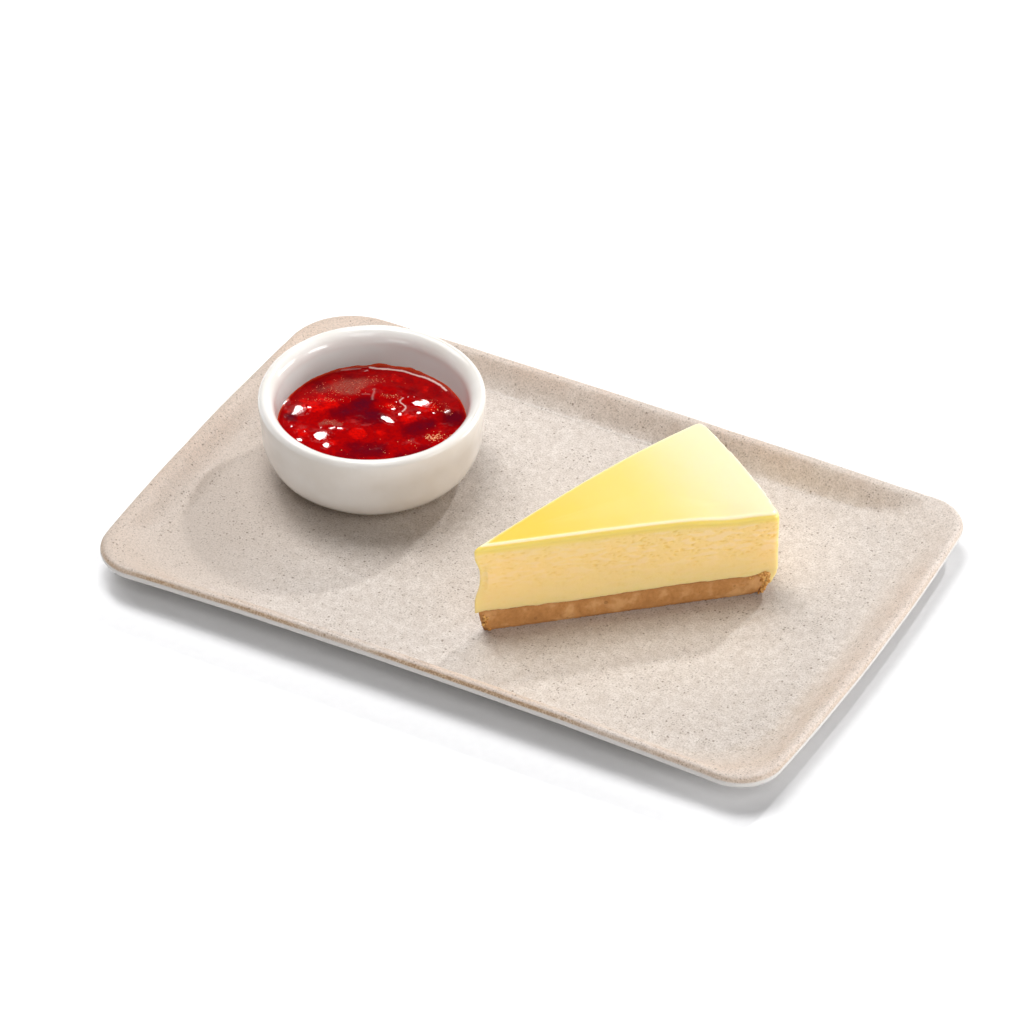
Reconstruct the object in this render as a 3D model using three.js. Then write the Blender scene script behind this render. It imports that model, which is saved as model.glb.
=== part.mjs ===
// A slice of New York style cheesecake on an oblong stoneware platter, with a small
// white bowl of strawberry sauce beside it. Millimetres, +Z up. The origin is the
// middle of the platter's foot, on the table, and +X runs along the platter.
import * as THREE from 'three';

// Thin space left between pieces that lie on or in each other
const GAP = 0.3;

// Platter: its outline, seen from above
const PLATTER_LENGTH = 307.6;
const PLATTER_DEPTH = 201.5;
const END_BOWS = { left: 3.3, right: 4.1 };
const SIDE_BOW = -1.5;
const CORNER_RADII = { backRight: 16, backLeft: 27, frontLeft: 20, frontRight: 18 };
const FLOOR_CORNER_RADIUS = 34;

// Platter: its section, from the table up
const RIM_HEIGHT = 15.6;
const SIDE_LIFT = 2.5;
const FLOOR_HEIGHT = 7.5;
const LIP_HEIGHT = 5.6;
const LIP_WIDTH = 4.4;
const SLOPE_WIDTH_SIDES = 15;
const SLOPE_WIDTH_ENDS = 21;
const FOOT_INSET = 27;
const FOOT_WIDTH = 4;
const FOOT_DEPTH = 1.8;

// Sauce bowl: height, radii and where it stands
const BOWL_CENTRE = new THREE.Vector2(-84.4, 16.9);
const BOWL_HEIGHT = 39.3;
const BOWL_RADIUS = 47.3;
const BOWL_SHOULDER_RADIUS = 46.2;
const BOWL_SHOULDER_HEIGHT = 20.4;
const BOWL_FOOT_RADIUS = 25;
const BOWL_LIP_OUTER = { width: 2, drop: 2.8 };
const BOWL_LIP_INNER = { width: 4.9, drop: 6.5 };
const BOWL_INNER_RADIUS = 39.5;
const BOWL_INNER_HEIGHT = 22;
const BOWL_WELL_RADIUS = 20;
const BOWL_FLOOR = 5;

// Strawberry sauce: level above the bowl's foot, and the fruit that lifts its skin
const SAUCE_LEVEL = 22.7;
const SAUCE_MENISCUS = 0.9;
const FRUIT_LUMPS = [
  { x: -29, y: -4, width: 8, height: 0.7 },
  { x: -18, y: 11, width: 10, height: 0.4 },
  { x: -13, y: -13, width: 8, height: 0.8 },
  { x: -5, y: -4, width: 7, height: 0.5 },
  { x: 3, y: -14, width: 6, height: 0.6 },
  { x: 6, y: 17, width: 8, height: 0.6 },
  { x: 13, y: 1, width: 8, height: 0.8 },
  { x: 20, y: 15, width: 8, height: 0.5 },
  { x: 26, y: 2, width: 7, height: 0.7 },
  { x: 12, y: -24, width: 8, height: 0.5 },
  { x: 27, y: -13, width: 6, height: 0.4 },
];
const SAUCE_HOLLOW = { x: -2, y: 9, width: 9, height: -0.6 };

// Slice of cake: its tip on the platter, the way it points, and its wedge
const SLICE_TIP = new THREE.Vector2(4.9, -60.2);
const SLICE_DIRECTION = 56.3;
const SLICE_ANGLE = 31.6;
const SLICE_RADIUS = 127.7;
const SLICE_FAR_REACH = 2.4;
const SLICE_BACK_BULGE = 1.8;
const SLICE_FAR_BULGE = 1.4;
const SLICE_TIP_ROUND = 2.4;
const SLICE_CORNER_ROUND = 3;

// Slice of cake: its layers, from the platter up
const TIP_HEIGHT = 44.1;
const BACK_HEIGHT = 39.8;
const BASE_THICKNESS = 9.8;
const BASE_FLAT_INSET = 9;
const BASE_TIP_RECESS = 1.6;
const BASE_TIP_UNDERCUT = 2.4;
const BASE_BACK_RECESS = 4.3;
const BASE_BACK_UNDERCUT = 3.6;
const BASE_WAVE = 0.3;
const BASE_GRAIN = 0.35;
const SKIRT_THICKNESS = 3.1;
const SKIRT_DROP = 4.5;
const FACE_WAVE = 0.25;
const TIP_PINCH = 1.9;
const TOP_THICKNESS = 2.4;
const TOP_EDGE_ROUND = 1.4;
const TOP_CROWN = 1.8;
const CROWN_SKEW = 1.45;

const { lerp, smoothstep, degToRad } = THREE.MathUtils;

// Joins rings of equally many points, each anticlockwise from above, into one closed
// skin. The rings run from the middle of the underside out, up and in over the top.
function closedSkin(rings) {
  const count = rings[0].length;
  const positions = [];
  const faces = [];
  for (const ring of rings) {
    for (const point of ring) positions.push(point.x, point.y, point.z);
  }
  for (const ring of [rings[0], rings[rings.length - 1]]) {
    const middle = new THREE.Vector3();
    for (const point of ring) middle.addScaledVector(point, 1 / count);
    positions.push(middle.x, middle.y, middle.z);
  }
  const underMiddle = rings.length * count;
  const topMiddle = underMiddle + 1;
  const lastRing = (rings.length - 1) * count;
  for (let i = 0; i < count; i += 1) {
    const next = (i + 1) % count;
    faces.push(underMiddle, next, i);
    faces.push(topMiddle, lastRing + i, lastRing + next);
    for (let k = 0; k < rings.length - 1; k += 1) {
      const low = k * count;
      const high = low + count;
      faces.push(low + i, low + next, high + next);
      faces.push(low + i, high + next, high + i);
    }
  }
  const geometry = new THREE.BufferGeometry();
  geometry.setAttribute('position', new THREE.Float32BufferAttribute(positions, 3));
  geometry.setIndex(faces);
  geometry.computeVertexNormals();
  return geometry;
}

function namedMesh(name, geometry, colour, roughness) {
  const material = new THREE.MeshStandardMaterial({ color: colour, roughness, metalness: 0 });
  const mesh = new THREE.Mesh(geometry, material);
  mesh.name = name;
  return mesh;
}

// Platter

const CORNER_STEPS = 7;
const LONG_SIDE_STEPS = 12;
const SHORT_SIDE_STEPS = 8;

// The platter's outline drawn in by a given amount at the ends and at the sides.
// round goes from 0, the rim's own corners, to 1, the wider corners of the floor.
function platterOutline(endInset, sideInset, round) {
  const halfLength = PLATTER_LENGTH / 2 - endInset;
  const halfDepth = PLATTER_DEPTH / 2 - sideInset;
  const corners = [
    { x: 1, y: 1, start: 0, radius: CORNER_RADII.backRight, steps: LONG_SIDE_STEPS },
    { x: -1, y: 1, start: 90, radius: CORNER_RADII.backLeft, steps: SHORT_SIDE_STEPS },
    { x: -1, y: -1, start: 180, radius: CORNER_RADII.frontLeft, steps: LONG_SIDE_STEPS },
    { x: 1, y: -1, start: 270, radius: CORNER_RADII.frontRight, steps: SHORT_SIDE_STEPS },
  ];
  const arcs = corners.map((corner) => {
    const radius = lerp(corner.radius, FLOOR_CORNER_RADIUS, round);
    const arc = [];
    for (let i = 0; i <= CORNER_STEPS; i += 1) {
      const angle = degToRad(corner.start + (90 * i) / CORNER_STEPS);
      arc.push(new THREE.Vector2(
        corner.x * (halfLength - radius) + radius * Math.cos(angle),
        corner.y * (halfDepth - radius) + radius * Math.sin(angle),
      ));
    }
    return arc;
  });
  const outline = [];
  arcs.forEach((arc, index) => {
    outline.push(...arc);
    const from = arc[arc.length - 1];
    const to = arcs[(index + 1) % arcs.length][0];
    const steps = corners[index].steps;
    for (let i = 1; i < steps; i += 1) {
      outline.push(new THREE.Vector2().lerpVectors(from, to, i / steps));
    }
  });
  const centring = (END_BOWS.right - END_BOWS.left) / 2;
  return outline.map((point) => {
    const u = (2 * point.x) / PLATTER_LENGTH;
    const v = (2 * point.y) / PLATTER_DEPTH;
    const bow = u > 0 ? END_BOWS.right : END_BOWS.left;
    return new THREE.Vector2(
      point.x + bow * u * (1 - v * v) - centring,
      point.y + SIDE_BOW * v * (1 - u * u),
    );
  });
}

// The rim stands a little higher in the middle of the long sides
function rimHeights() {
  return platterOutline(0, 0, 0).map((point) => {
    const u = (2 * point.x) / PLATTER_LENGTH;
    return RIM_HEIGHT + SIDE_LIFT * Math.max(0, 1 - u * u);
  });
}

function platterGeometry() {
  const lipHalfWidth = LIP_WIDTH / 2;
  const lipHalfHeight = LIP_HEIGHT / 2;
  const underside = FOOT_DEPTH;
  const endStretch = SLOPE_WIDTH_ENDS / SLOPE_WIDTH_SIDES;
  const stations = [];
  const addStation = (inset, stretch, round, height) => {
    stations.push({ endInset: inset * stretch, sideInset: inset, round, height });
  };

  // Underside: hollow within the foot, the foot itself, and the slope up to the lip
  const footInner = FOOT_INSET + FOOT_WIDTH;
  addStation(footInner + 30, 1, 1, () => underside);
  addStation(footInner + 1.2, 1, 1, () => underside);
  addStation(footInner, 1, 1, () => 0);
  addStation(FOOT_INSET, 1, 1, () => 0);
  addStation(FOOT_INSET - 1.2, 1, 1, () => underside);
  for (const share of [0.35, 0.7]) {
    const inset = lerp(FOOT_INSET - 1.2, lipHalfWidth, share);
    const rise = share * share * 0.75 + share * 0.25;
    addStation(inset, 1, 1 - share, (rim) => lerp(underside, rim - LIP_HEIGHT, rise));
  }

  // Lip: round from its underside, over the outermost line, to its top
  const lipSteps = 6;
  for (let i = 0; i <= lipSteps; i += 1) {
    const angle = degToRad(-90 + (180 * i) / lipSteps);
    const inset = lipHalfWidth * (1 - Math.cos(angle));
    addStation(inset, 1, 0, (rim) => rim - lipHalfHeight * (1 - Math.sin(angle)));
  }

  // Inner slope down to the floor, and the flat floor
  const slopeSteps = 7;
  for (let i = 1; i <= slopeSteps; i += 1) {
    const share = i / slopeSteps;
    const inset = lerp(lipHalfWidth, SLOPE_WIDTH_SIDES, share);
    const stretch = lerp(1, endStretch, share);
    const drop = smoothstep(share, 0, 1);
    addStation(inset, stretch, share, (rim) => lerp(rim, FLOOR_HEIGHT, drop));
  }
  addStation(SLOPE_WIDTH_SIDES + 28, 1.2, 1, () => FLOOR_HEIGHT);

  const rims = rimHeights();
  return closedSkin(stations.map(({ endInset, sideInset, round, height }) => (
    platterOutline(endInset, sideInset, round).map((point, i) => (
      new THREE.Vector3(point.x, point.y, height(rims[i]))
    ))
  )));
}

// Sauce bowl

const BOWL_SEGMENTS = 60;
const BOWL_CURVE_STEPS = 8;

// Outer face of the bowl, from the foot up to the shoulder
function bowlOuterCurve() {
  const curve = [];
  for (let i = 0; i <= BOWL_CURVE_STEPS; i += 1) {
    const angle = (Math.PI / 2) * (i / BOWL_CURVE_STEPS);
    curve.push(new THREE.Vector2(
      lerp(BOWL_FOOT_RADIUS, BOWL_SHOULDER_RADIUS, Math.sin(angle)),
      BOWL_SHOULDER_HEIGHT * (1 - Math.cos(angle)),
    ));
  }
  return curve;
}

// Inner face of the bowl, from its flat floor up to where the wall is straight.
// clearance draws it in, so that it also gives the outside of what the bowl holds.
function bowlInnerCurve(clearance) {
  const curve = [];
  for (let i = 0; i <= BOWL_CURVE_STEPS; i += 1) {
    const angle = (Math.PI / 2) * (i / BOWL_CURVE_STEPS);
    curve.push(new THREE.Vector2(
      lerp(BOWL_WELL_RADIUS, BOWL_INNER_RADIUS, Math.sin(angle)) - clearance * Math.sin(angle),
      lerp(BOWL_INNER_HEIGHT, BOWL_FLOOR, Math.cos(angle)) + clearance * Math.cos(angle),
    ));
  }
  return curve;
}

function bowlGeometry() {
  const profile = [new THREE.Vector2(0, 0), ...bowlOuterCurve()];

  // Lip: a tight round outside its crest, and a long soft one inside it
  const lipSteps = 10;
  const crest = BOWL_RADIUS - BOWL_LIP_OUTER.width;
  for (let i = 0; i <= lipSteps; i += 1) {
    const angle = Math.PI * (i / lipSteps);
    const side = Math.cos(angle) > 0 ? BOWL_LIP_OUTER : BOWL_LIP_INNER;
    profile.push(new THREE.Vector2(
      crest + side.width * Math.cos(angle),
      BOWL_HEIGHT - side.drop * (1 - Math.sin(angle)),
    ));
  }
  profile.push(...bowlInnerCurve(0).reverse(), new THREE.Vector2(0, BOWL_FLOOR));
  const geometry = new THREE.LatheGeometry(profile, BOWL_SEGMENTS);
  geometry.rotateX(Math.PI / 2);
  return geometry;
}

// Strawberry sauce

// Height of the sauce's skin at a point, from the middle of the bowl
function sauceHeight(x, y) {
  let height = SAUCE_LEVEL;
  for (const lump of [...FRUIT_LUMPS, SAUCE_HOLLOW]) {
    const distance = Math.hypot(x - lump.x, y - lump.y) / lump.width;
    height += lump.height * (1 - smoothstep(distance, 0, 1));
  }
  const edge = smoothstep(Math.hypot(x, y), BOWL_INNER_RADIUS - 4, BOWL_INNER_RADIUS);
  return lerp(height, SAUCE_LEVEL + SAUCE_MENISCUS, edge);
}

function sauceGeometry() {
  const ring = (radius, heightAt) => {
    const points = [];
    for (let i = 0; i < BOWL_SEGMENTS; i += 1) {
      const angle = (2 * Math.PI * i) / BOWL_SEGMENTS;
      const x = radius * Math.cos(angle);
      const y = radius * Math.sin(angle);
      points.push(new THREE.Vector3(x, y, heightAt(x, y)));
    }
    return points;
  };
  const rings = bowlInnerCurve(GAP).map(({ x, y }) => ring(x, () => y));
  const skinRings = 11;
  for (let i = 0; i < skinRings; i += 1) {
    const radius = (BOWL_INNER_RADIUS - GAP) * (1 - i / skinRings);
    rings.push(ring(radius, sauceHeight));
  }
  return closedSkin(rings);
}

// Slice of cake, in its own frame: the tip at the origin and the middle line along +X

const HALF_ANGLE = degToRad(SLICE_ANGLE / 2);
const FACE_STEPS = 26;
const BACK_STEPS = 9;
const ROUND_STEPS = 4;

// The wedge's outline, anticlockwise from the tip, drawn in by inset all round
function sliceOutline(radius, inset) {
  const tip = new THREE.Vector2(inset / Math.sin(HALF_ANGLE), 0);
  const corner = (side, reach) => new THREE.Vector2(
    reach * Math.cos(HALF_ANGLE) - inset,
    side * (reach * Math.sin(HALF_ANGLE) - inset / Math.cos(HALF_ANGLE)
      - inset * Math.tan(HALF_ANGLE)),
  );
  const near = corner(-1, radius);
  const far = corner(1, radius + SLICE_FAR_REACH);
  const outline = [];

  // A stretch that bulges outwards and stops short of both ends, and a rounded corner
  const addSide = (from, to, cutFrom, cutTo, steps, bulge) => {
    const length = from.distanceTo(to);
    const outwards = new THREE.Vector2(to.y - from.y, from.x - to.x).divideScalar(length);
    for (let i = 0; i <= steps; i += 1) {
      const share = lerp(cutFrom / length, 1 - cutTo / length, i / steps);
      const point = new THREE.Vector2().lerpVectors(from, to, share);
      outline.push(point.addScaledVector(outwards, bulge * 4 * share * (1 - share)));
    }
  };
  const addRound = (before, at, after, cut) => {
    const from = new THREE.Vector2().lerpVectors(at, before, cut / at.distanceTo(before));
    const to = new THREE.Vector2().lerpVectors(at, after, cut / at.distanceTo(after));
    const curve = new THREE.QuadraticBezierCurve(from, at, to);
    outline.push(...curve.getPoints(ROUND_STEPS).slice(1, -1));
  };
  const tipCut = SLICE_TIP_ROUND;
  const cornerCut = SLICE_CORNER_ROUND;
  addSide(tip, near, tipCut, cornerCut, FACE_STEPS, 0);
  addRound(tip, near, far, cornerCut);
  addSide(near, far, cornerCut, cornerCut, BACK_STEPS, SLICE_BACK_BULGE);
  addRound(near, far, tip, cornerCut);
  addSide(far, tip, cornerCut, tipCut, FACE_STEPS, SLICE_FAR_BULGE);
  addRound(far, tip, near, tipCut);
  return outline;
}

// The knife leaves shallow waves across the cut faces
function faceWave(point, height) {
  return FACE_WAVE * Math.sin(point.x * 0.11 + height * 0.09 + point.y * 0.05)
    * Math.cos(point.x * 0.043 - height * 0.13);
}

function moved(point, height) {
  const reach = point.length();
  const side = Math.sign(point.y) * Math.min(1, Math.abs(point.y) / 2);
  const towards = faceWave(point, height) * smoothstep(reach, 4, 16);
  return new THREE.Vector3(point.x + tipPinch(reach, height), point.y - side * towards, height);
}

// The thin tip of the soft cheese is pinched in at mid height, as the knife drew out
function tipPinch(reach, height) {
  const level = (height - BASE_THICKNESS) / (TIP_HEIGHT - BASE_THICKNESS);
  const waist = Math.exp(-(((level - 0.52) / 0.24) ** 2));
  return TIP_PINCH * waist * (1 - smoothstep(reach, 1, 10));
}

// Height of the top of the cake above the platter's floor. It is crowned, most of all
// beyond its middle.
function topHeight(point) {
  const along = Math.max(0, point.x / SLICE_RADIUS);
  return lerp(TIP_HEIGHT, BACK_HEIGHT, along)
    + TOP_CROWN * Math.sin(Math.PI * along ** CROWN_SKEW);
}

// The biscuit base is pressed by hand, so its upper face rises and falls
function baseHeight(point) {
  return BASE_THICKNESS + BASE_WAVE * Math.sin(point.x * 0.09 + 0.6);
}

function biscuitBaseGeometry() {
  let seed = 20261;
  const random = () => {
    seed = (seed * 16807) % 2147483647;
    return seed / 2147483647;
  };
  const levels = [0, 0.12, 0.32, 0.52, 0.74, 0.93, 1];
  const rings = levels.map((level) => {
    const recess = BASE_BACK_RECESS + BASE_BACK_UNDERCUT * (1 - level) ** 1.5;
    const tipRecess = BASE_TIP_RECESS + BASE_TIP_UNDERCUT * (1 - level) ** 1.5;
    const worn = level === 0 ? 0.35 : -0.15;
    return sliceOutline(SLICE_RADIUS - recess, worn).map((point) => {
      const grain = BASE_GRAIN * random();
      const blunt = tipRecess * (1 - smoothstep(point.length(), 0, 7));
      const inward = new THREE.Vector2(SLICE_RADIUS * 0.6, 0).sub(point).normalize();
      const place = point.clone().addScaledVector(inward, grain + blunt);
      return new THREE.Vector3(place.x, place.y, level * baseHeight(point));
    });
  });
  const flat = sliceOutline(SLICE_RADIUS - BASE_BACK_RECESS, BASE_FLAT_INSET);
  rings.push(flat.map((point) => new THREE.Vector3(point.x, point.y, BASE_THICKNESS)));
  return closedSkin(rings);
}

function cheeseFillingGeometry() {
  const rings = [];

  // Underside: it lies on the base, and a skirt hangs down over the base's back end
  const skirt = (point) => {
    const across = point.y / (2 * SLICE_RADIUS * Math.sin(HALF_ANGLE)) + 0.5;
    const reach = SLICE_RADIUS + SLICE_FAR_REACH * across;
    const behind = point.x - reach * Math.cos(HALF_ANGLE);
    return smoothstep(behind, -SKIRT_THICKNESS, -1.2);
  };
  const underEdge = (radius, inset, hangs) => sliceOutline(radius, inset).map((point) => (
    new THREE.Vector3(
      point.x,
      point.y,
      baseHeight(point) + GAP - (hangs ? SKIRT_DROP * skirt(point) : 0),
    )
  ));
  const flat = sliceOutline(SLICE_RADIUS - BASE_BACK_RECESS, BASE_FLAT_INSET);
  rings.push(flat.map((point) => new THREE.Vector3(point.x, point.y, BASE_THICKNESS + GAP)));
  rings.push(underEdge(SLICE_RADIUS - SKIRT_THICKNESS, 0.9, false));
  rings.push(underEdge(SLICE_RADIUS - SKIRT_THICKNESS + 0.8, 0.8, true));
  const bottomEdge = underEdge(SLICE_RADIUS, 0.5, true);
  rings.push(bottomEdge);

  // Cut faces and back, up to the seat of the top layer
  const faceSteps = 7;
  const outline = sliceOutline(SLICE_RADIUS, 0);
  for (let i = 0; i <= faceSteps; i += 1) {
    const share = lerp(0.03, 1, i / faceSteps);
    rings.push(outline.map((point, index) => {
      const top = topHeight(point) - TOP_THICKNESS - GAP;
      return moved(point, lerp(bottomEdge[index].z, top, share));
    }));
  }
  return closedSkin(rings);
}

function topLayerGeometry() {
  const stations = [
    { inset: 0.5, depth: TOP_THICKNESS },
    { inset: 0, depth: TOP_THICKNESS - 0.4 },
    { inset: 0, depth: TOP_EDGE_ROUND },
    { inset: TOP_EDGE_ROUND * 0.3, depth: TOP_EDGE_ROUND * 0.3 },
    { inset: TOP_EDGE_ROUND, depth: 0 },
    { inset: 7, depth: 0 },
  ];
  return closedSkin(stations.map(({ inset, depth }) => (
    sliceOutline(SLICE_RADIUS, inset).map((point) => (
      new THREE.Vector3(point.x, point.y, topHeight(point) - depth)
    ))
  )));
}

// The whole, put together

const platter = namedMesh('platter', platterGeometry(), 0xcdc0b3, 0.85);

const bowlGroup = new THREE.Group();
bowlGroup.position.set(BOWL_CENTRE.x, BOWL_CENTRE.y, FLOOR_HEIGHT + GAP);
bowlGroup.add(
  namedMesh('sauce_bowl', bowlGeometry(), 0xece8e2, 0.2),
  namedMesh('strawberry_sauce', sauceGeometry(), 0xa00a0c, 0.12),
);

const sliceGroup = new THREE.Group();
sliceGroup.position.set(SLICE_TIP.x, SLICE_TIP.y, FLOOR_HEIGHT + GAP);
sliceGroup.rotation.z = degToRad(SLICE_DIRECTION);
sliceGroup.add(
  namedMesh('biscuit_base', biscuitBaseGeometry(), 0xa9713c, 0.95),
  namedMesh('cheese_filling', cheeseFillingGeometry(), 0xf0cf8a, 0.7),
  namedMesh('yellow_top', topLayerGeometry(), 0xfbdc6a, 0.3),
);

const servedSlice = new THREE.Group();
servedSlice.add(platter, bowlGroup, sliceGroup);

export default servedSlice;
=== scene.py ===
import math
import random

import bmesh
import bpy
from mathutils import Matrix, Vector, noise


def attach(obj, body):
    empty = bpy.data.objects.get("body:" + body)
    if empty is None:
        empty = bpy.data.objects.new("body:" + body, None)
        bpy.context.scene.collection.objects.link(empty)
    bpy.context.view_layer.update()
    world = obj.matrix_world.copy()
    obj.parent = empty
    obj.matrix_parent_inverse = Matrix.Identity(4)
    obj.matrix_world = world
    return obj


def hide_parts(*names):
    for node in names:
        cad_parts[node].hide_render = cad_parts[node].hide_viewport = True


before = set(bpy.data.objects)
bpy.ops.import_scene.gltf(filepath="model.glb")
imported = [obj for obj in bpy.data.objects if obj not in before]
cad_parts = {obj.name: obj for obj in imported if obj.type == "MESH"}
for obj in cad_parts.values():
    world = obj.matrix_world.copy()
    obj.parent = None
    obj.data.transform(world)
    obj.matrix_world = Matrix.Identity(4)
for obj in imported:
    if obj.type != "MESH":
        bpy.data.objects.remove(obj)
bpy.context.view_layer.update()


# The view
# The plate is seen from above its front and a little from its right end, through a
# long lens that shows it with hardly any perspective.
PHOTO_PIXELS = 1028
FOCAL_PIXELS = 5849
SENSOR_WIDTH = 36
FAR_CLIP = 30
CAMERA_DISTANCE = 2.4118
CAMERA_RISE = math.radians(38.228)
CAMERA_TURN = math.radians(28.275)
CAMERA_TARGET = Vector((-0.01282, 0.00831, 0.015))


def direction(azimuth, rise):
    """Unit vector from the table towards a compass angle, counted from +X, and a height."""
    return Vector((
        math.cos(azimuth) * math.cos(rise),
        math.sin(azimuth) * math.cos(rise),
        math.sin(rise),
    ))


def add_object(name, data):
    made = bpy.data.objects.new(name, data)
    bpy.context.collection.objects.link(made)
    return made


camera_data = bpy.data.cameras.new("photo_camera")
camera_data.sensor_width = SENSOR_WIDTH
camera_data.lens = SENSOR_WIDTH * FOCAL_PIXELS / PHOTO_PIXELS
camera_data.clip_end = FAR_CLIP
camera = add_object("photo_camera", camera_data)
camera.location = CAMERA_TARGET + CAMERA_DISTANCE * direction(CAMERA_TURN - math.pi / 2, CAMERA_RISE)
camera.rotation_euler = (math.pi / 2 - CAMERA_RISE, 0, CAMERA_TURN)
bpy.context.scene.camera = camera
bpy.context.scene.view_settings.view_transform = "Standard"


# The light
# A broad soft box hangs behind the plate with a small window light below it. Weaker ones
# stand to the left, and wide reflectors fill the front. A white sweep closes the back.
WORLD_STRENGTH = 0.01
# Each light's compass angle and height angle in degrees, distance, width and height, and
# the share that it gives to a level surface, next to white
LIGHTS = {
    "key_soft_box": (135, 75, 2.4, 0.9, 0.9, 0.5),
    "left_soft_box": (168, 55, 2.4, 1.3, 1.0, 0.255),
    "front_left_reflector": (-135, 55, 2.4, 1.0, 1.0, 0.022),
    "back_window": (80.5, 40, 2.4, 0.11, 0.11, 0.205),
    "left_window": (148, 52, 2.4, 0.22, 0.22, 0.055),
    "white_sweep": (120, 22, 3.0, 2.0, 0.8, 0.05),
    "front_reflector": (-50, 48, 2.4, 1.0, 1.0, 0.14),
    "right_reflector": (0, 9, 2.4, 1.0, 0.6, 0.076),
    "right_back_reflector": (45, 9, 2.4, 1.0, 0.6, 0.063),
    "camera_reflector": (-90, 8, 2.4, 1.0, 0.6, 0.02),
}
for name, (azimuth, rise, distance, width, height, share) in LIGHTS.items():
    data = bpy.data.lights.new(name, "AREA")
    data.shape = "RECTANGLE"
    data.size = width
    data.size_y = height
    data.energy = share * (math.pi * distance) ** 2 / math.sin(math.radians(rise))
    light = add_object(name, data)
    towards = direction(math.radians(azimuth), math.radians(rise))
    light.location = distance * towards
    light.rotation_euler = towards.to_track_quat("Z", "Y").to_euler()

world = bpy.data.worlds.new("studio")
world.use_nodes = True
world.node_tree.nodes["Background"].inputs["Strength"].default_value = WORLD_STRENGTH
bpy.context.scene.world = world


# The table
# A plain white table top, large enough to fill the picture and a little cloudy, as paper
# is. It is not part of the dish.
def set_inputs(node, inputs):
    """Sets a node's inputs, each to a value or from a socket or a node's first output."""
    for key, value in inputs.items():
        if isinstance(value, bpy.types.Node):
            value = value.outputs[0]
        if isinstance(value, bpy.types.NodeSocket):
            node.id_data.links.new(value, node.inputs[key])
        else:
            node.inputs[key].default_value = value


def add_node(tree, kind, inputs=None, **settings):
    made = tree.nodes.new(kind)
    for key, value in settings.items():
        setattr(made, key, value)
    set_inputs(made, inputs or {})
    return made


def new_finish(name, values=None):
    """A material with plain values. Returns it, its shader and the place, for patterns."""
    material = bpy.data.materials.new(name)
    material.use_nodes = True
    shader = material.node_tree.nodes["Principled BSDF"]
    set_inputs(shader, values or {})
    return material, shader, add_node(shader.id_data, "ShaderNodeTexCoord").outputs["Object"]


def layered(colour, *coats):
    """Lays coats over a plain colour. Each is a share from 0 to 1 and its own colour."""
    under = (*colour, 1)
    for share, coat in coats:
        inputs = {0: share, 6: under, 7: (*coat, 1)}
        under = add_node(share.id_data, "ShaderNodeMix", inputs, data_type="RGBA").outputs[2]
    return under


def ramp(value, low, high, to_low=0.0, to_high=1.0):
    """Maps a value smoothly from one range to another, held at both ends."""
    inputs = {"Value": value, "From Min": low, "From Max": high, "To Min": to_low, "To Max": to_high}
    mapped = add_node(value.id_data, "ShaderNodeMapRange", inputs, interpolation_type="SMOOTHSTEP")
    return mapped.outputs["Result"]


def cloud(place, size, detail=3.0, roughness=0.5):
    """Soft noise whose features are about the given size in metres."""
    inputs = {"Vector": place, "Scale": 1 / size, "Detail": detail, "Roughness": roughness}
    return add_node(place.id_data, "ShaderNodeTexNoise", inputs).outputs["Fac"]


TABLE_HALF = 6.0
TABLE_WHITE = (0.92, 0.92, 0.93)
TABLE_BRIGHT = (0.94, 0.94, 0.95)
table_mesh = bpy.data.meshes.new("table")
table_mesh.from_pydata(
    [(x * TABLE_HALF, y * TABLE_HALF, 0) for x, y in ((-1, -1), (1, -1), (1, 1), (-1, 1))],
    [], [(0, 1, 2, 3)],
)
table = add_object("table", table_mesh)
table_finish, shader, place = new_finish("white_table", {"Roughness": 0.7})
paper = ramp(cloud(place, 0.004), 0.3, 0.7)
set_inputs(shader, {"Base Color": layered(TABLE_WHITE, (paper, TABLE_BRIGHT))})
table_mesh.materials.append(table_finish)


# The platter
# An oblong of speckled stoneware, pressed in a mould and finished by hand. Its lip is
# round and worn brown where the glaze ran thin, and its inside slopes to a flat floor.
PLATTER_LENGTH = 0.3076
PLATTER_DEPTH = 0.2015
LEFT_BOW = 0.0033
RIGHT_BOW = 0.0041
SIDE_BOW = -0.0015
# From the back right corner, anticlockwise
CORNER_RADII = (0.016, 0.027, 0.02, 0.018)
CORNER_SIGNS = ((1, 1), (-1, 1), (-1, -1), (1, -1))
CORNER_STEPS = 18
SIDE_STEPS = (60, 40, 60, 40)
FLOOR_CORNER_RADIUS = 0.034
WIDEST_CORNER = 0.95
RIM_HEIGHT = 0.0156
SIDE_LIFT = 0.0025
FLOOR_HEIGHT = 0.0075
FLOOR_REACH = 0.082
FLOOR_STRETCH = 1.2
LIP_HEIGHT = 0.0056
LIP_WIDTH = 0.0044
SLOPE_WIDTH_SIDES = 0.015
SLOPE_WIDTH_ENDS = 0.021
FOOT_INSET = 0.027
FOOT_WIDTH = 0.004
FOOT_DEPTH = 0.0018
FOOT_ROUND = 0.0006
FOOT_FILLET = 0.0015
UNDER_REACH = 0.03
HAND_UNEVENNESS = 0.0003
BROAD_WAVES = 38
FINE_WAVES = 160


def mix(low, high, share):
    return low + (high - low) * share


def smooth(value, low, high):
    share = min(1.0, max(0.0, (value - low) / (high - low)))
    return share * share * (3 - 2 * share)


def way(angle):
    """Level unit vector at an angle from +X."""
    return Vector((math.cos(angle), math.sin(angle)))


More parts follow.
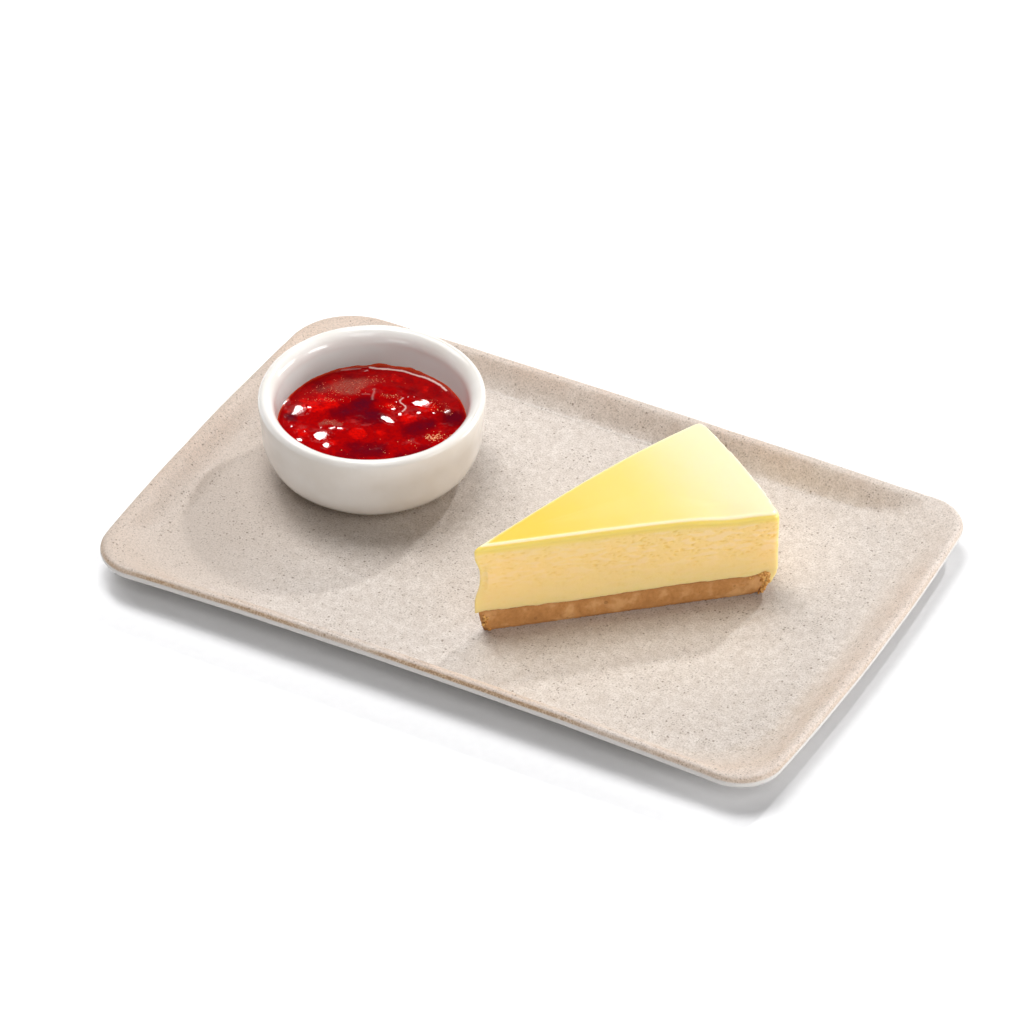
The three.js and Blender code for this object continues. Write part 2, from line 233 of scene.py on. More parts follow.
def ring_skin(name, rings, marks):
    """Joins rings of equally many points into one closed smooth skin. The rings run from
    the middle of the underside out, up and in over the top, anticlockwise from above.
    Marks are named values, one for each point."""
    count = len(rings[0])
    points = [point for ring in rings for point in ring]
    middles = [sum(ring, Vector()) / count for ring in (rings[0], rings[-1])]
    under, over = len(points), len(points) + 1
    last = (len(rings) - 1) * count
    faces = []
    for i in range(count):
        after = (i + 1) % count
        faces.append((under, after, i))
        faces.append((over, last + i, last + after))
        for low in range(0, last, count):
            high = low + count
            faces.append((low + i, low + after, high + after, high + i))
    mesh = bpy.data.meshes.new(name)
    mesh.from_pydata([*points, *middles], [], faces)
    turned = bmesh.new()
    turned.from_mesh(mesh)
    bmesh.ops.recalc_face_normals(turned, faces=turned.faces)
    turned.to_mesh(mesh)
    turned.free()
    for label, values in marks.items():
        flat = [value for ring in values for value in ring]
        flat += [sum(ring) / count for ring in (values[0], values[-1])]
        mesh.attributes.new(label, "FLOAT", "POINT").data.foreach_set("value", flat)
    mesh.shade_smooth()
    return add_object(name, mesh)


def platter_outline(end_inset, side_inset, widening):
    """The platter's outline, drawn in at the ends and the sides. Widening goes from 0, the
    rim's own corners, to 1, the wider corners of the floor."""
    half_length = PLATTER_LENGTH / 2 - end_inset
    half_depth = PLATTER_DEPTH / 2 - side_inset
    arcs = []
    for corner, (x_sign, y_sign) in enumerate(CORNER_SIGNS):
        radius = mix(CORNER_RADII[corner], FLOOR_CORNER_RADIUS, widening)
        radius = min(radius, WIDEST_CORNER * half_depth)
        middle = Vector((x_sign * (half_length - radius), y_sign * (half_depth - radius)))
        arc = []
        for i in range(CORNER_STEPS + 1):
            angle = math.radians(90 * corner + 90 * i / CORNER_STEPS)
            arc.append(middle + radius * way(angle))
        arcs.append(arc)
    outline = []
    for arc, following, steps in zip(arcs, arcs[1:] + arcs[:1], SIDE_STEPS):
        outline += arc + [arc[-1].lerp(following[0], i / steps) for i in range(1, steps)]
    bowed = []
    for x, y in outline:
        u = 2 * x / PLATTER_LENGTH
        v = 2 * y / PLATTER_DEPTH
        bow = (RIGHT_BOW if u > 0 else LEFT_BOW) * u * (1 - v * v) - (RIGHT_BOW - LEFT_BOW) / 2
        bowed.append((x + bow, y + SIDE_BOW * v * (1 - u * u)))
    return bowed


platter_rims = [
    RIM_HEIGHT + SIDE_LIFT * max(0, 1 - (2 * x / PLATTER_LENGTH) ** 2)
    for x, y in platter_outline(0, 0, 0)
]

# Each station is an inset from the rim, how far it stretches at the ends, its widening,
# and its height as a level plus a share of the rim's height. The first go round the foot.
OUTER_STEPS = 9
LIP_STEPS = 16
SLOPE_STEPS = 22
FLOOR_STEPS = 14
foot_inner = FOOT_INSET + FOOT_WIDTH
end_stretch = SLOPE_WIDTH_ENDS / SLOPE_WIDTH_SIDES
stations = [(inset, 1, 1, FOOT_DEPTH * share, 0) for inset, share in (
    (foot_inner + UNDER_REACH, 1), (foot_inner + FOOT_FILLET, 1), (foot_inner + FOOT_ROUND, 0.5),
    (foot_inner, 0), (FOOT_INSET, 0), (FOOT_INSET - FOOT_ROUND, 0.5), (FOOT_INSET - FOOT_FILLET, 1),
)]
for i in range(1, OUTER_STEPS):
    share = i / OUTER_STEPS
    inset = mix(FOOT_INSET - 2 * FOOT_ROUND, LIP_WIDTH / 2, share)
    climb = share * share * 0.75 + share * 0.25
    stations.append((inset, 1, 1 - share, mix(FOOT_DEPTH, -LIP_HEIGHT, climb), climb))
for i in range(LIP_STEPS + 1):
    angle = math.radians(-90 + 180 * i / LIP_STEPS)
    inset = LIP_WIDTH / 2 * (1 - math.cos(angle))
    stations.append((inset, 1, 0, -LIP_HEIGHT / 2 * (1 - math.sin(angle)), 1))
crest_station = len(stations) - 1
for i in range(1, SLOPE_STEPS + 1):
    share = i / SLOPE_STEPS
    inset = mix(LIP_WIDTH / 2, SLOPE_WIDTH_SIDES, share)
    fall = smooth(share, 0, 1)
    stations.append((inset, mix(1, end_stretch, share), share, FLOOR_HEIGHT * fall, 1 - fall))
for i in range(1, FLOOR_STEPS + 1):
    share = i / FLOOR_STEPS
    inset = SLOPE_WIDTH_SIDES + FLOOR_REACH * share
    stations.append((inset, mix(end_stretch, FLOOR_STRETCH, share), 1, FLOOR_HEIGHT, 0))

# How far each station lies from the lip's crest along the section, outside negative
along_section = [0.0]
for before, after in zip(stations, stations[1:]):
    rise = after[3] - before[3] + (after[4] - before[4]) * RIM_HEIGHT
    along_section.append(along_section[-1] + math.hypot(after[0] - before[0], rise))
platter_rings = []
lip_distances = []
for (inset, stretch, widening, plain, rim_share), distance in zip(stations, along_section):
    ring = []
    for (x, y), rim in zip(platter_outline(inset * stretch, inset, widening), platter_rims):
        level = plain + rim_share * rim
        lift = noise.noise(Vector((x, y, 0)) * BROAD_WAVES)
        lift += 0.3 * noise.noise(Vector((x, y, 1)) * FINE_WAVES)
        level += smooth(level, FLOOR_HEIGHT, RIM_HEIGHT) * HAND_UNEVENNESS * lift
        ring.append(Vector((x, y, level)))
    platter_rings.append(ring)
    lip_distances.append([distance - along_section[crest_station]] * len(ring))
platter = ring_skin("stoneware_platter", platter_rings, {"from_lip": lip_distances})


def combine(first, *others, by="MULTIPLY"):
    """Multiplies values, or joins them by another operation. The first is a socket."""
    for other in others:
        inputs = {0: first, 1: other}
        first = add_node(first.id_data, "ShaderNodeMath", inputs, operation=by).outputs[0]
    return first


def mark(shader, label):
    """What a mark of the piece says at each point."""
    return add_node(shader.id_data, "ShaderNodeAttribute", attribute_name=label).outputs["Fac"]


def along_axis(place, axis):
    return add_node(place.id_data, "ShaderNodeSeparateXYZ", {0: place}).outputs[axis]


def bumped(relief, strength):
    """The shading of a fine relief, given in metres."""
    inputs = {"Strength": strength, "Distance": 1.0, "Height": relief}
    return add_node(relief.id_data, "ShaderNodeBump", inputs).outputs["Normal"]


def new_group(name, kind, inputs, outputs):
    """A group of nodes with sockets of the given kinds. Returns it and what it is given."""
    group = bpy.data.node_groups.new(name, kind)
    for side, sockets in (("INPUT", inputs), ("OUTPUT", outputs)):
        for label, socket in sockets.items():
            group.interface.new_socket(label, in_out=side, socket_type="NodeSocket" + socket)
    return group, add_node(group, "NodeGroupInput").outputs


SPECKLE, given = new_group("Speckle", "ShaderNodeTree", {
    "Vector": "Vector", "Spacing": "Float", "Share": "Float", "Size": "Float",
}, {"Mask": "Float"})
scale = add_node(SPECKLE, "ShaderNodeMath", {0: 1.0, 1: given["Spacing"]}, operation="DIVIDE")
cells = add_node(SPECKLE, "ShaderNodeTexVoronoi", {"Vector": given["Vector"], "Scale": scale})
chance = add_node(SPECKLE, "ShaderNodeSeparateColor", {0: cells.outputs["Color"]}).outputs
chosen = combine(chance[0], given["Share"], by="LESS_THAN")
reach = combine(given["Size"], ramp(chance[1], 0.0, 1.0, 0.45, 1.3))
inside = combine(reach, cells.outputs["Distance"], by="SUBTRACT")
add_node(SPECKLE, "NodeGroupOutput", {"Mask": combine(chosen, ramp(inside, 0.0, 0.06))})


def specks(place, spacing, share, size):
    """Small round specks, one to a cell, in a share of the cells."""
    inputs = {"Vector": place, "Spacing": spacing, "Share": share, "Size": size}
    return add_node(place.id_data, "ShaderNodeGroup", inputs, node_tree=SPECKLE).outputs["Mask"]


STONE_PALE = (0.71, 0.65, 0.6)
STONE_DEEP = (0.59, 0.525, 0.475)
STONE_LIGHT = (0.8, 0.76, 0.72)
STONE_LEFT_PAINTED_SHADE = (0.525, 0.438, 0.372)
STONE_WARM = (0.625, 0.478, 0.38)
RIM_BROWN = (0.29, 0.17, 0.085)
RIM_GOLD = (0.52, 0.32, 0.14)
SPECK_BROWN = (0.19, 0.145, 0.11)
SPECK_FINE = (0.35, 0.285, 0.23)
OUTER_GREY = (0.61, 0.59, 0.565)
stoneware, shader, place = new_finish("speckled_stoneware")
from_lip = mark(shader, "from_lip")
along_platter = along_axis(place, "X")
broad = cloud(place, 0.05, 2)
clumps = cloud(place, 0.012, 4, 0.6)
mottle = cloud(place, 0.004, 4, 0.65)
grain = cloud(place, 0.00075, 3, 0.7)
warm_zone = combine(
    ramp(from_lip, 0.016, 0.001, 0.0, 0.8), ramp(broad, 0.38, 0.62, 0.4, 1.0),
    ramp(along_platter, 0.03, 0.13, 1.0, 0.6),
)
glints = ramp(cloud(place, 0.0006, 3, 0.7), 0.58, 0.72, 0.0, 0.45)
crowded = ramp(clumps, 0.62, 0.42, 0.45, 1.0)
rim_line = combine(ramp(from_lip, -0.0034, -0.0028), ramp(from_lip, -0.0012, -0.002))
rim_specks = combine(rim_line, ramp(cloud(place, 0.0011, 3, 0.7), 0.42, 0.56))
worn = combine(ramp(along_platter, 0.055, 0.125, 1.0, 0.28), ramp(broad, 0.36, 0.56, 0.35, 1.0))
set_inputs(shader, {
    "Base Color": layered(
        STONE_DEEP,
        (ramp(mottle, 0.3, 0.7), STONE_PALE),
        (ramp(clumps, 0.52, 0.3, 0.0, 0.6), STONE_DEEP),
        # Painted shade: the left end of the platter is painted darker and browner
        (ramp(along_platter, -0.055, -0.125, 0.0, 0.75), STONE_LEFT_PAINTED_SHADE),
        (warm_zone, STONE_WARM),
        (ramp(grain, 0.57, 0.38, 0.0, 0.48), SPECK_FINE),
        (glints, STONE_LIGHT),
        (combine(specks(place, 0.001, 0.65, 0.32), 0.5, crowded), SPECK_BROWN),
        (combine(specks(place, 0.0021, 0.5, 0.21), 0.75, crowded), SPECK_BROWN),
        (combine(specks(place, 0.0056, 0.3, 0.1), 0.9, crowded), SPECK_BROWN),
        (combine(rim_line, worn, 0.55), RIM_GOLD),
        (combine(rim_specks, worn, 0.85), RIM_BROWN),
        (ramp(from_lip, -0.0029, -0.0036, 0.0, 0.9), OUTER_GREY),
    ),
    "Roughness": ramp(mottle, 0.3, 0.7, 0.36, 0.5),
    "Normal": bumped(combine(combine(grain, 0.00016), combine(mottle, 0.0003), by="ADD"), 0.7),
})
platter.data.materials.append(stoneware)
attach(platter, "root")
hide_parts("platter")


# The sauce bowl
# A small thick bowl thrown on a wheel, dipped in a glossy white glaze that has kept a
# few iron specks. The wall is drawn as half a section and turned round its middle.
BOWL_CENTRE = Vector((-0.0844, 0.0169, FLOOR_HEIGHT))
BOWL_HEIGHT = 0.0387
BOWL_OVAL = 0.034
BOWL_RADIUS = 0.0473
BOWL_SHOULDER_RADIUS = 0.0462
BOWL_SHOULDER_HEIGHT = 0.0204
BOWL_FOOT_RADIUS = 0.025
BOWL_FOOT_CLEARANCE = 0.0001
BOWL_LIP_OUTER = (0.002, 0.0028)
BOWL_LIP_INNER = (0.0049, 0.0065)
BOWL_LIP_STEPS = 32
BOWL_INNER_RADIUS = 0.0395
BOWL_INNER_HEIGHT = 0.022
BOWL_WELL_RADIUS = 0.02
BOWL_FLOOR = 0.005
BOWL_SEGMENTS = 180
BOWL_WAVES = 45.0
BOWL_UNEVENNESS = 0.0006
OVAL_START = 0.017
WALL_SHARES = (0.25, 0.5, 0.75)


def quarter(start, end, low, high, steps=20):
    """A quarter of an ellipse that leaves level from the middle and ends upright."""
    points = []
    for i in range(steps + 1):
        angle = math.pi / 2 * i / steps
        points.append((mix(start, end, math.sin(angle)), mix(low, high, 1 - math.cos(angle))))
    return points


bowl_half = [(0.0, BOWL_FOOT_CLEARANCE), (BOWL_FOOT_RADIUS * 0.5, BOWL_FOOT_CLEARANCE)]
bowl_half += quarter(BOWL_FOOT_RADIUS, BOWL_SHOULDER_RADIUS, BOWL_FOOT_CLEARANCE, BOWL_SHOULDER_HEIGHT)
for share in WALL_SHARES:
    bowl_half.append((
        mix(BOWL_SHOULDER_RADIUS, BOWL_RADIUS, smooth(share, 0, 1)),
        mix(BOWL_SHOULDER_HEIGHT, BOWL_HEIGHT - BOWL_LIP_OUTER[1], share),
    ))
for i in range(BOWL_LIP_STEPS + 1):
    angle = math.pi * i / BOWL_LIP_STEPS
    width, drop = BOWL_LIP_OUTER if i < BOWL_LIP_STEPS / 2 else BOWL_LIP_INNER
    radius = BOWL_RADIUS - BOWL_LIP_OUTER[0] + width * math.cos(angle)
    bowl_half.append((radius, BOWL_HEIGHT - drop * (1 - math.sin(angle))))
top_radius, top_height = bowl_half[-1]
for share in WALL_SHARES:
    radius = mix(top_radius, BOWL_INNER_RADIUS, share)
    bowl_half.append((radius, mix(top_height, BOWL_INNER_HEIGHT, share)))
bowl_half += reversed(quarter(BOWL_WELL_RADIUS, BOWL_INNER_RADIUS, BOWL_FLOOR, BOWL_INNER_HEIGHT))
bowl_half += [(BOWL_WELL_RADIUS * 0.5, BOWL_FLOOR), (0.0, BOWL_FLOOR)]


def wobble(tree, fineness, amount):
    """An offset along the normals, by soft noise."""
    soft = add_node(tree, "ShaderNodeTexNoise", {"Scale": fineness, "Detail": 1.0})
    share = combine(combine(soft.outputs["Fac"], 0.5, by="SUBTRACT"), amount)
    normal = add_node(tree, "GeometryNodeInputNormal")
    return add_node(tree, "ShaderNodeVectorMath", {0: normal, "Scale": share}, operation="SCALE")


def end_tree(tree, geometry, offset, material):
    """Ends a geometry tree: moves its points, and makes the skin smooth, real and coated."""
    moved = add_node(tree, "GeometryNodeSetPosition", {"Geometry": geometry, "Offset": offset})
    soft = add_node(tree, "GeometryNodeSetShadeSmooth", {0: moved})
    real = add_node(tree, "GeometryNodeRealizeInstances", {"Geometry": soft})
    coated = add_node(tree, "GeometryNodeSetMaterial", {"Geometry": real, "Material": material})
    add_node(tree, "NodeGroupOutput", {"Geometry": coated})


def grown(name, source_mesh, tree, inputs):
    """Runs a geometry tree once on a mesh and keeps the result as a plain piece."""
    worker = add_object(name + "_worker", source_mesh)
    modifier = worker.modifiers.new("grow", "NODES")
    modifier.node_group = tree
    for label, value in inputs.items():
        modifier[tree.interface.items_tree[label].identifier] = value
    evaluated = worker.evaluated_get(bpy.context.evaluated_depsgraph_get())
    mesh = bpy.data.meshes.new_from_object(evaluated)
    mesh.name = name
    bpy.data.objects.remove(worker)
    return add_object(name, mesh)


# The tree turns half a section round an upright axis and closes it at the axis
TURNING, given = new_group("Turned On A Wheel", "GeometryNodeTree", {
    "Geometry": "Geometry", "Radius": "Float", "Segments": "Int", "Centre": "Vector",
    "Unevenness": "Float", "Glaze": "Material",
}, {"Geometry": "Geometry"})
rail = add_node(TURNING, "GeometryNodeCurvePrimitiveCircle", {
    "Resolution": given["Segments"], "Radius": given["Radius"],
})
half = add_node(TURNING, "GeometryNodeMeshToCurve", {"Mesh": given["Geometry"]})
turned = add_node(TURNING, "GeometryNodeCurveToMesh", {"Curve": rail, "Profile Curve": half})
closed = add_node(TURNING, "GeometryNodeMergeByDistance", {"Geometry": turned, "Distance": 0.00002})
offset = wobble(TURNING, BOWL_WAVES, given["Unevenness"])
placed = add_node(TURNING, "ShaderNodeVectorMath", {0: offset, 1: given["Centre"]})
end_tree(TURNING, closed, placed, given["Glaze"])

GLAZE_WHITE = (0.825, 0.8, 0.765)
GLAZE_SHADE = (0.78, 0.745, 0.695)
GLAZE_INSIDE_BOUNCE_CANCEL = (0.775, 0.88, 0.845)
glaze, shader, place = new_finish("white_glaze", {"IOR": 1.5})
flat_place = add_node(shader.id_data, "ShaderNodeVectorMath", {
    0: place, 1: (1, 1, 0), 2: (-BOWL_CENTRE.x, -BOWL_CENTRE.y, 0),
}, operation="MULTIPLY_ADD")
off_axis = add_node(shader.id_data, "ShaderNodeVectorMath", {0: flat_place}, operation="LENGTH")
height = along_axis(place, "Z")
# Painted light: between the sauce and the lip the inside is tinted green-blue, to cancel the red light
# that the sauce throws on the wall
inside = combine(
    ramp(off_axis.outputs["Value"], 0.0446, 0.0434), ramp(height, 0.02, 0.0215),
    ramp(height, 0.044, 0.0375),
)
skin = cloud(place, 0.006, 2)
set_inputs(shader, {
    "Base Color": layered(
        GLAZE_WHITE,
        (ramp(cloud(place, 0.018, 3), 0.35, 0.7), GLAZE_SHADE),
        (inside, GLAZE_INSIDE_BOUNCE_CANCEL),
        (combine(specks(place, 0.011, 0.1, 0.035), 0.75), SPECK_BROWN),
        (combine(specks(place, 0.006, 0.05, 0.03), 0.75), SPECK_BROWN),
    ),
    "Roughness": ramp(skin, 0.3, 0.7, 0.1, 0.2),
    "Normal": bumped(combine(skin, 0.0001), 0.5),
})

half_mesh = bpy.data.meshes.new("bowl_half")
half_mesh.from_pydata(
    [(radius - BOWL_RADIUS, -height, 0) for radius, height in bowl_half],
    [(i, i + 1) for i in range(len(bowl_half) - 1)], [],
)
bowl = grown("glazed_bowl", half_mesh, TURNING, {
    "Radius": BOWL_RADIUS, "Segments": BOWL_SEGMENTS, "Centre": BOWL_CENTRE,
    "Unevenness": BOWL_UNEVENNESS, "Glaze": glaze,
})
# Its mouth came off the wheel a little oval, deeper than it is wide
mouth_long = way(CAMERA_TURN).orthogonal().to_3d()
for vertex in bowl.data.vertices:
    pulled = BOWL_OVAL * smooth(vertex.co.z - FLOOR_HEIGHT, OVAL_START, BOWL_HEIGHT)
    vertex.co += mouth_long * (vertex.co - BOWL_CENTRE).dot(mouth_long) * pulled
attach(bowl, "root")
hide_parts("sauce_bowl")


# The strawberry sauce
# Cooked strawberries in their own thick red syrup. Wet pieces of fruit break its skin,
# a thin brown film has gathered at the back, and the syrup clings to the wall.
SAUCE_LEVEL = 0.0226
MM = 0.001
RING_SPREAD = 1.12
WALL_FILM_WIDTH = 0.0012
SKIN_SEED = 3

# Soft rises and hollows: place, radius and height in millimetres from the bowl's middle
FRUIT_LUMPS = (
    (-24, 0, 14, 0.5), (-14, 12, 13, 0.35), (-3, -8, 12, 0.45), (10, -18, 13, 0.35), (12, 8, 13, 0.55),
    (-8, 30, 10, 0.3), (20, -8, 12, 0.3), (-20, -20, 11, 0.3), (-30, -11, 8, -0.3), (27, 17, 10, -0.4),
    (-12, 8, 9, -0.3), (18, 3, 9, -0.3),
)
# Wet faces of fruit: place, half width and half depth in millimetres, and turn in degrees
WET_FACES = (
    (-32.6, -6.9, 3.4, 2.3, 6), (-28.6, -3.0, 1.0, 0.8, 0), (-38.2, -4.6, 1.3, 1.1, 0),
    (-37.4, -8.5, 0.8, 0.7, 0), (-38.0, -11.1, 0.7, 0.7, 0), (-14.7, -17.5, 2.7, 2.1, 8),
    (-9.6, -21.7, 1.3, 1.5, 60), (-13.2, -10.5, 1.4, 0.6, 15), (-10.4, -9.2, 1.3, 0.6, -15),
    (-21.1, -24.0, 1.3, 0.9, -40), (-28.9, -17.4, 0.7, 0.6, 0), (-25.4, -19.4, 0.6, 0.5, 0),
    (-22.1, -17.9, 0.6, 0.5, 0), (-17.6, -12.3, 0.5, 0.5, 0), (-38.8, 5.2, 0.8, 0.8, 0),
    (11.4, 22.0, 3.6, 1.7, -6), (4.0, 5.4, 2.9, 1.3, -42), (6.9, 10.9, 1.0, 0.8, 20),
    (13.4, 15.7, 1.1, 0.8, 0), (18.9, 18.7, 0.7, 0.7, 0), (2.7, 13.0, 1.1, 0.6, 0),
    (4.2, 23.5, 0.5, 0.5, 0), (6.2, 24.4, 0.5, 0.5, 0), (23.4, 22.4, 1.2, 0.8, 30),
    (-31.5, -14.8, 0.5, 0.4, 0), (1.5, 17.8, 0.5, 0.5, 0), (-21.0, 30.5, 1.3, 0.5, 5),
)
# Colours in the skin: place and radius in millimetres, and strength
BRIGHT_FRUIT = (
    (-26, 1, 9, 1.0), (-29, -4, 7, 0.7), (-2.3, -9.0, 6, 1.5), (12.4, 9.3, 7, 1.3), (5.8, -3.3, 4, 1.0),
    (-6, 32, 5, 0.9), (13, 20, 7, 0.9), (-9, -19, 6, 0.7), (-23, -19, 6, 0.9), (1, 14, 5, 0.9),
    (19, 22, 5, 0.6), (-34, 0, 4, 0.6), (3, 7, 4, 0.6), (8, 31, 5, 0.5), (-36, -10, 4, 0.7),
    (-9.4, -10.2, 4, 0.7), (-20, 4, 6, 0.5),
)
DARK_SYRUP = (
    (-10.2, 10.8, 7.5, 1.5), (28, 20, 8, 1.5), (17, 4, 9, 0.9), (-16, -1, 8, 0.8), (-32.6, -12.3, 5, 1.2),
    (3, -19, 10, 0.9), (-3, 4, 9, 1.3), (4, 27, 7, 0.5), (30, -6, 9, 0.8), (-12, 4, 9, 0.7),
    (11, -15, 9, 0.9), (21, 11, 8, 0.9), (-4, -30, 9, 0.7), (-18, -30, 7, 0.6), (-32, 12, 7, 0.7),
    (-24, 24, 8, 0.5), (14, 32, 8, 0.4), (24, -14, 9, 0.7),
)
BROWN_FILM_AND_SOFT_GLINT = (
    (-32, 8, 6, 0.4), (-28.5, 12.5, 7, 0.6), (-24, 18, 8, 0.9), (-19.5, 19, 7, 1.0),
    (-17.5, 23.5, 7, 0.8), (-12.6, 27, 6, 0.45), (-21, 13.5, 6, 0.7), (-17, 15, 5, 0.5),
    (-19.2, -10.6, 2.6, 0.8), (-17.4, -8.4, 3.0, 1.2), (-14.6, -7.0, 3.2, 1.3), (-12.0, -6.8, 2.6, 1.1),
    # The first patch on this line, at 23.4, 22.4, is a painted soft glint on a wet face
    (23.4, 22.4, 3.6, 0.9), (-4.5, 19.8, 3.5, 0.6), (0.6, 21.0, 3.2, 0.5),
)
# Threads of pale froth, and one painted highlight along the syrup's edge at the back wall: half width,
# softness, strength and points in millimetres
PALE_THREADS_AND_EDGE_HIGHLIGHT = (
    (0.26, 0.4, 0.75, (
        (2.6, 21.6), (2.3, 19.8), (2.7, 18.5), (4.9, 17.6), (6.5, 17.0), (7.2, 15.2), (7.1, 13.1),
    )),
    (0.22, 1.3, 0.3, ((-11.2, 21.4), (-9.9, 19.2), (-9.3, 16.7), (-8.2, 14.6))),
    (0.15, 0.9, 0.22, ((-13.6, 15.6), (-12.2, 16.6), (-10.9, 17.0))),
    # Painted highlight: the syrup's climbing edge at the back wall, drawn as a pale line
    (0.4, 0.4, 0.95, (
        (-20.0, 33.4), (-15.8, 34.6), (-11.9, 36.4), (-5.7, 38.2), (-1.4, 37.9), (4.0, 38.4),
        (9.4, 37.4), (13.2, 36.3), (16.0, 34.6),
    )),
    (0.15, 0.4, 0.5, ((-29.6, 25.6), (-26.0, 28.8), (-23.0, 31.0))),
)
# Where the film climbs the wall: direction and width in degrees, and height
BACK_FILM_TURNS = ((94, 6, 0.9), (114, 5, 0.7), (70, 5, 0.4))
window = bpy.data.objects["left_window"].location
half_way = (window - BOWL_CENTRE).normalized() + (camera.location - BOWL_CENTRE).normalized()
MIRROR_SLOPE = Vector((half_way.x, half_way.y)) / -half_way.z


def rises(spot, places):
    """Sum of smooth round rises, in millimetres from the middle of the bowl."""
    total = 0.0
    for place_x, place_y, radius, height in places:
        away = math.hypot(spot.x - place_x, spot.y - place_y) / radius
        if away < 1:
            total += height * (1 - smooth(away, 0, 1))
    return total


def wet_faces(spot):
    """Rises whose near faces mirror the window, and how much they flatten what is there."""
    lift = 0.0
    hold_most = 0.0
    for place_x, place_y, half_width, half_depth, turn in WET_FACES:
        off = Vector((spot.x - place_x, spot.y - place_y))
        if off.length < 2.2 * half_width + 1:
            long_way = way(CAMERA_TURN + math.radians(turn))
            short_way = long_way.orthogonal()
            away = math.hypot(off.dot(long_way) / half_width, off.dot(short_way) / half_depth)
            away += 0.35 * noise.noise(spot * 0.9)
            hold = 1 - smooth(away, 0.9, 2.2)
            if hold > hold_most:
                hold_most = hold
                reach = math.hypot(
                    MIRROR_SLOPE.dot(long_way) * half_width, MIRROR_SLOPE.dot(short_way) * half_depth,
                )
                lift = hold * (MIRROR_SLOPE.dot(off) + 0.8 * reach)
    return lift, 1 - hold_most


def rounded(points):
    """Cuts the corners of a line of points twice."""
    line = [Vector(point) for point in points]
    for _ in range(2):
        cut = [line[0]]
        for start, end in zip(line, line[1:]):
            cut += [start.lerp(end, 0.25), start.lerp(end, 0.75)]
        line = [*cut, line[-1]]
    return line


round_threads = [(*values, rounded(points)) for *values, points in PALE_THREADS_AND_EDGE_HIGHLIGHT]


def thread_share(spot):
    share = 0.0
    for half_width, softness, strength, thread in round_threads:
        for start, end in zip(thread, thread[1:]):
            along = end - start
            part = min(1.0, max(0.0, (spot.xy - start).dot(along) / along.length_squared))
            away = (spot.xy - start - along * part).length
            inside = 1 - smooth(away, half_width - softness / 2, half_width + softness / 2)
            share = max(share, strength * inside)
    return share


def sauce_skin(x, y):
    """Height of the skin and the shares of bright fruit, dark syrup, film and thread, which takes in the
    painted highlight along the back wall.
    """
    spot = Vector((x, y, 0)) / MM
    wobbled = spot + noise.noise_vector(spot * 0.35) * 0.8 + noise.noise_vector(spot * 1.1) * 0.25
    faces, calm = wet_faces(spot)
    soft = rises(wobbled, FRUIT_LUMPS) + 0.1 * noise.noise(spot * 0.25)
    soft += 0.03 * noise.noise(spot * 0.7) + 0.006 * noise.noise(spot * 1.9)
    rough = 0.4 * noise.noise(spot * 0.22 + Vector((0, 0, 7)))
    rough += 0.25 * noise.noise(spot * 0.8 + Vector((0, 0, 9)))
    bright = rises(wobbled, BRIGHT_FRUIT) + rough
    dark = rises(wobbled, DARK_SYRUP) - rough
    film = rises(wobbled, BROWN_FILM_AND_SOFT_GLINT)
    off_axis = math.hypot(x, y)
    turn = math.degrees(math.atan2(y, x))
    from_wall = (SKIN_EDGE - off_axis) / MM
    way_round = Vector((x, y, 0)) / max(off_axis, MM) * 3
    reach = 1.7 + 0.9 * noise.noise(way_round * 1.6) + 0.5 * noise.noise(way_round * 4)
    climb = 0.3 * 0.25 * math.log1p(math.exp(min(30.0, (reach - from_wall) / 0.25)))
    cling = 0.35 + 0.3 * noise.noise(way_round * 5)
    cling += sum(rise * math.exp(-((turn - at) / width) ** 2) for at, width, rise in BACK_FILM_TURNS)
    climb += cling * math.exp(-from_wall / 0.45)
    lift = (soft * calm + faces) * smooth(from_wall, 0.8, 3.5) + climb
    wet = max(1 - calm, 0.8 * (1 - smooth(from_wall, 0.2, 1.0)))
    thread = thread_share(spot + noise.noise_vector(spot * 0.9) * 0.25)
    return SAUCE_LEVEL + MM * (lift + 0.15 * thread), bright, dark, film, thread, wet


SAUCE_SEGMENTS = 420
SAUCE_RINGS = 150
SAUCE_GAP = 0.0002
SKIN_EDGE = BOWL_INNER_RADIUS + 0.0005
# Without a seed, the noise vectors would differ from run to run
noise.seed_set(SKIN_SEED)
turns = [2 * math.pi * i / SAUCE_SEGMENTS for i in range(SAUCE_SEGMENTS)]
sauce_rings = []
sauce_marks = {"fruit": [], "depth": [], "film": [], "thread": [], "wet": [], "edge": []}
for radius, height in quarter(BOWL_WELL_RADIUS, BOWL_INNER_RADIUS, BOWL_FLOOR, BOWL_INNER_HEIGHT, 8):
    inner = radius - SAUCE_GAP
    sauce_rings.append([
        BOWL_CENTRE + Vector((inner * math.cos(turn), inner * math.sin(turn), height + SAUCE_GAP))
        for turn in turns
    ])
    for values in sauce_marks.values():
        values.append([0.0] * SAUCE_SEGMENTS)
for i in range(SAUCE_RINGS):
    radius = SKIN_EDGE * (1 - (i / SAUCE_RINGS) ** RING_SPREAD)
    ring = []
    found = []
    for turn in turns:
        x, y = radius * math.cos(turn), radius * math.sin(turn)
        height, *shares = sauce_skin(x, y)
        ring.append(BOWL_CENTRE + Vector((x, y, height)))
        found.append([*shares, smooth(radius, SKIN_EDGE - WALL_FILM_WIDTH, SKIN_EDGE)])
    sauce_rings.append(ring)
    for values, own in zip(sauce_marks.values(), zip(*found)):
        values.append(own)
sauce = ring_skin("strawberry_sauce_pool", sauce_rings, sauce_marks)

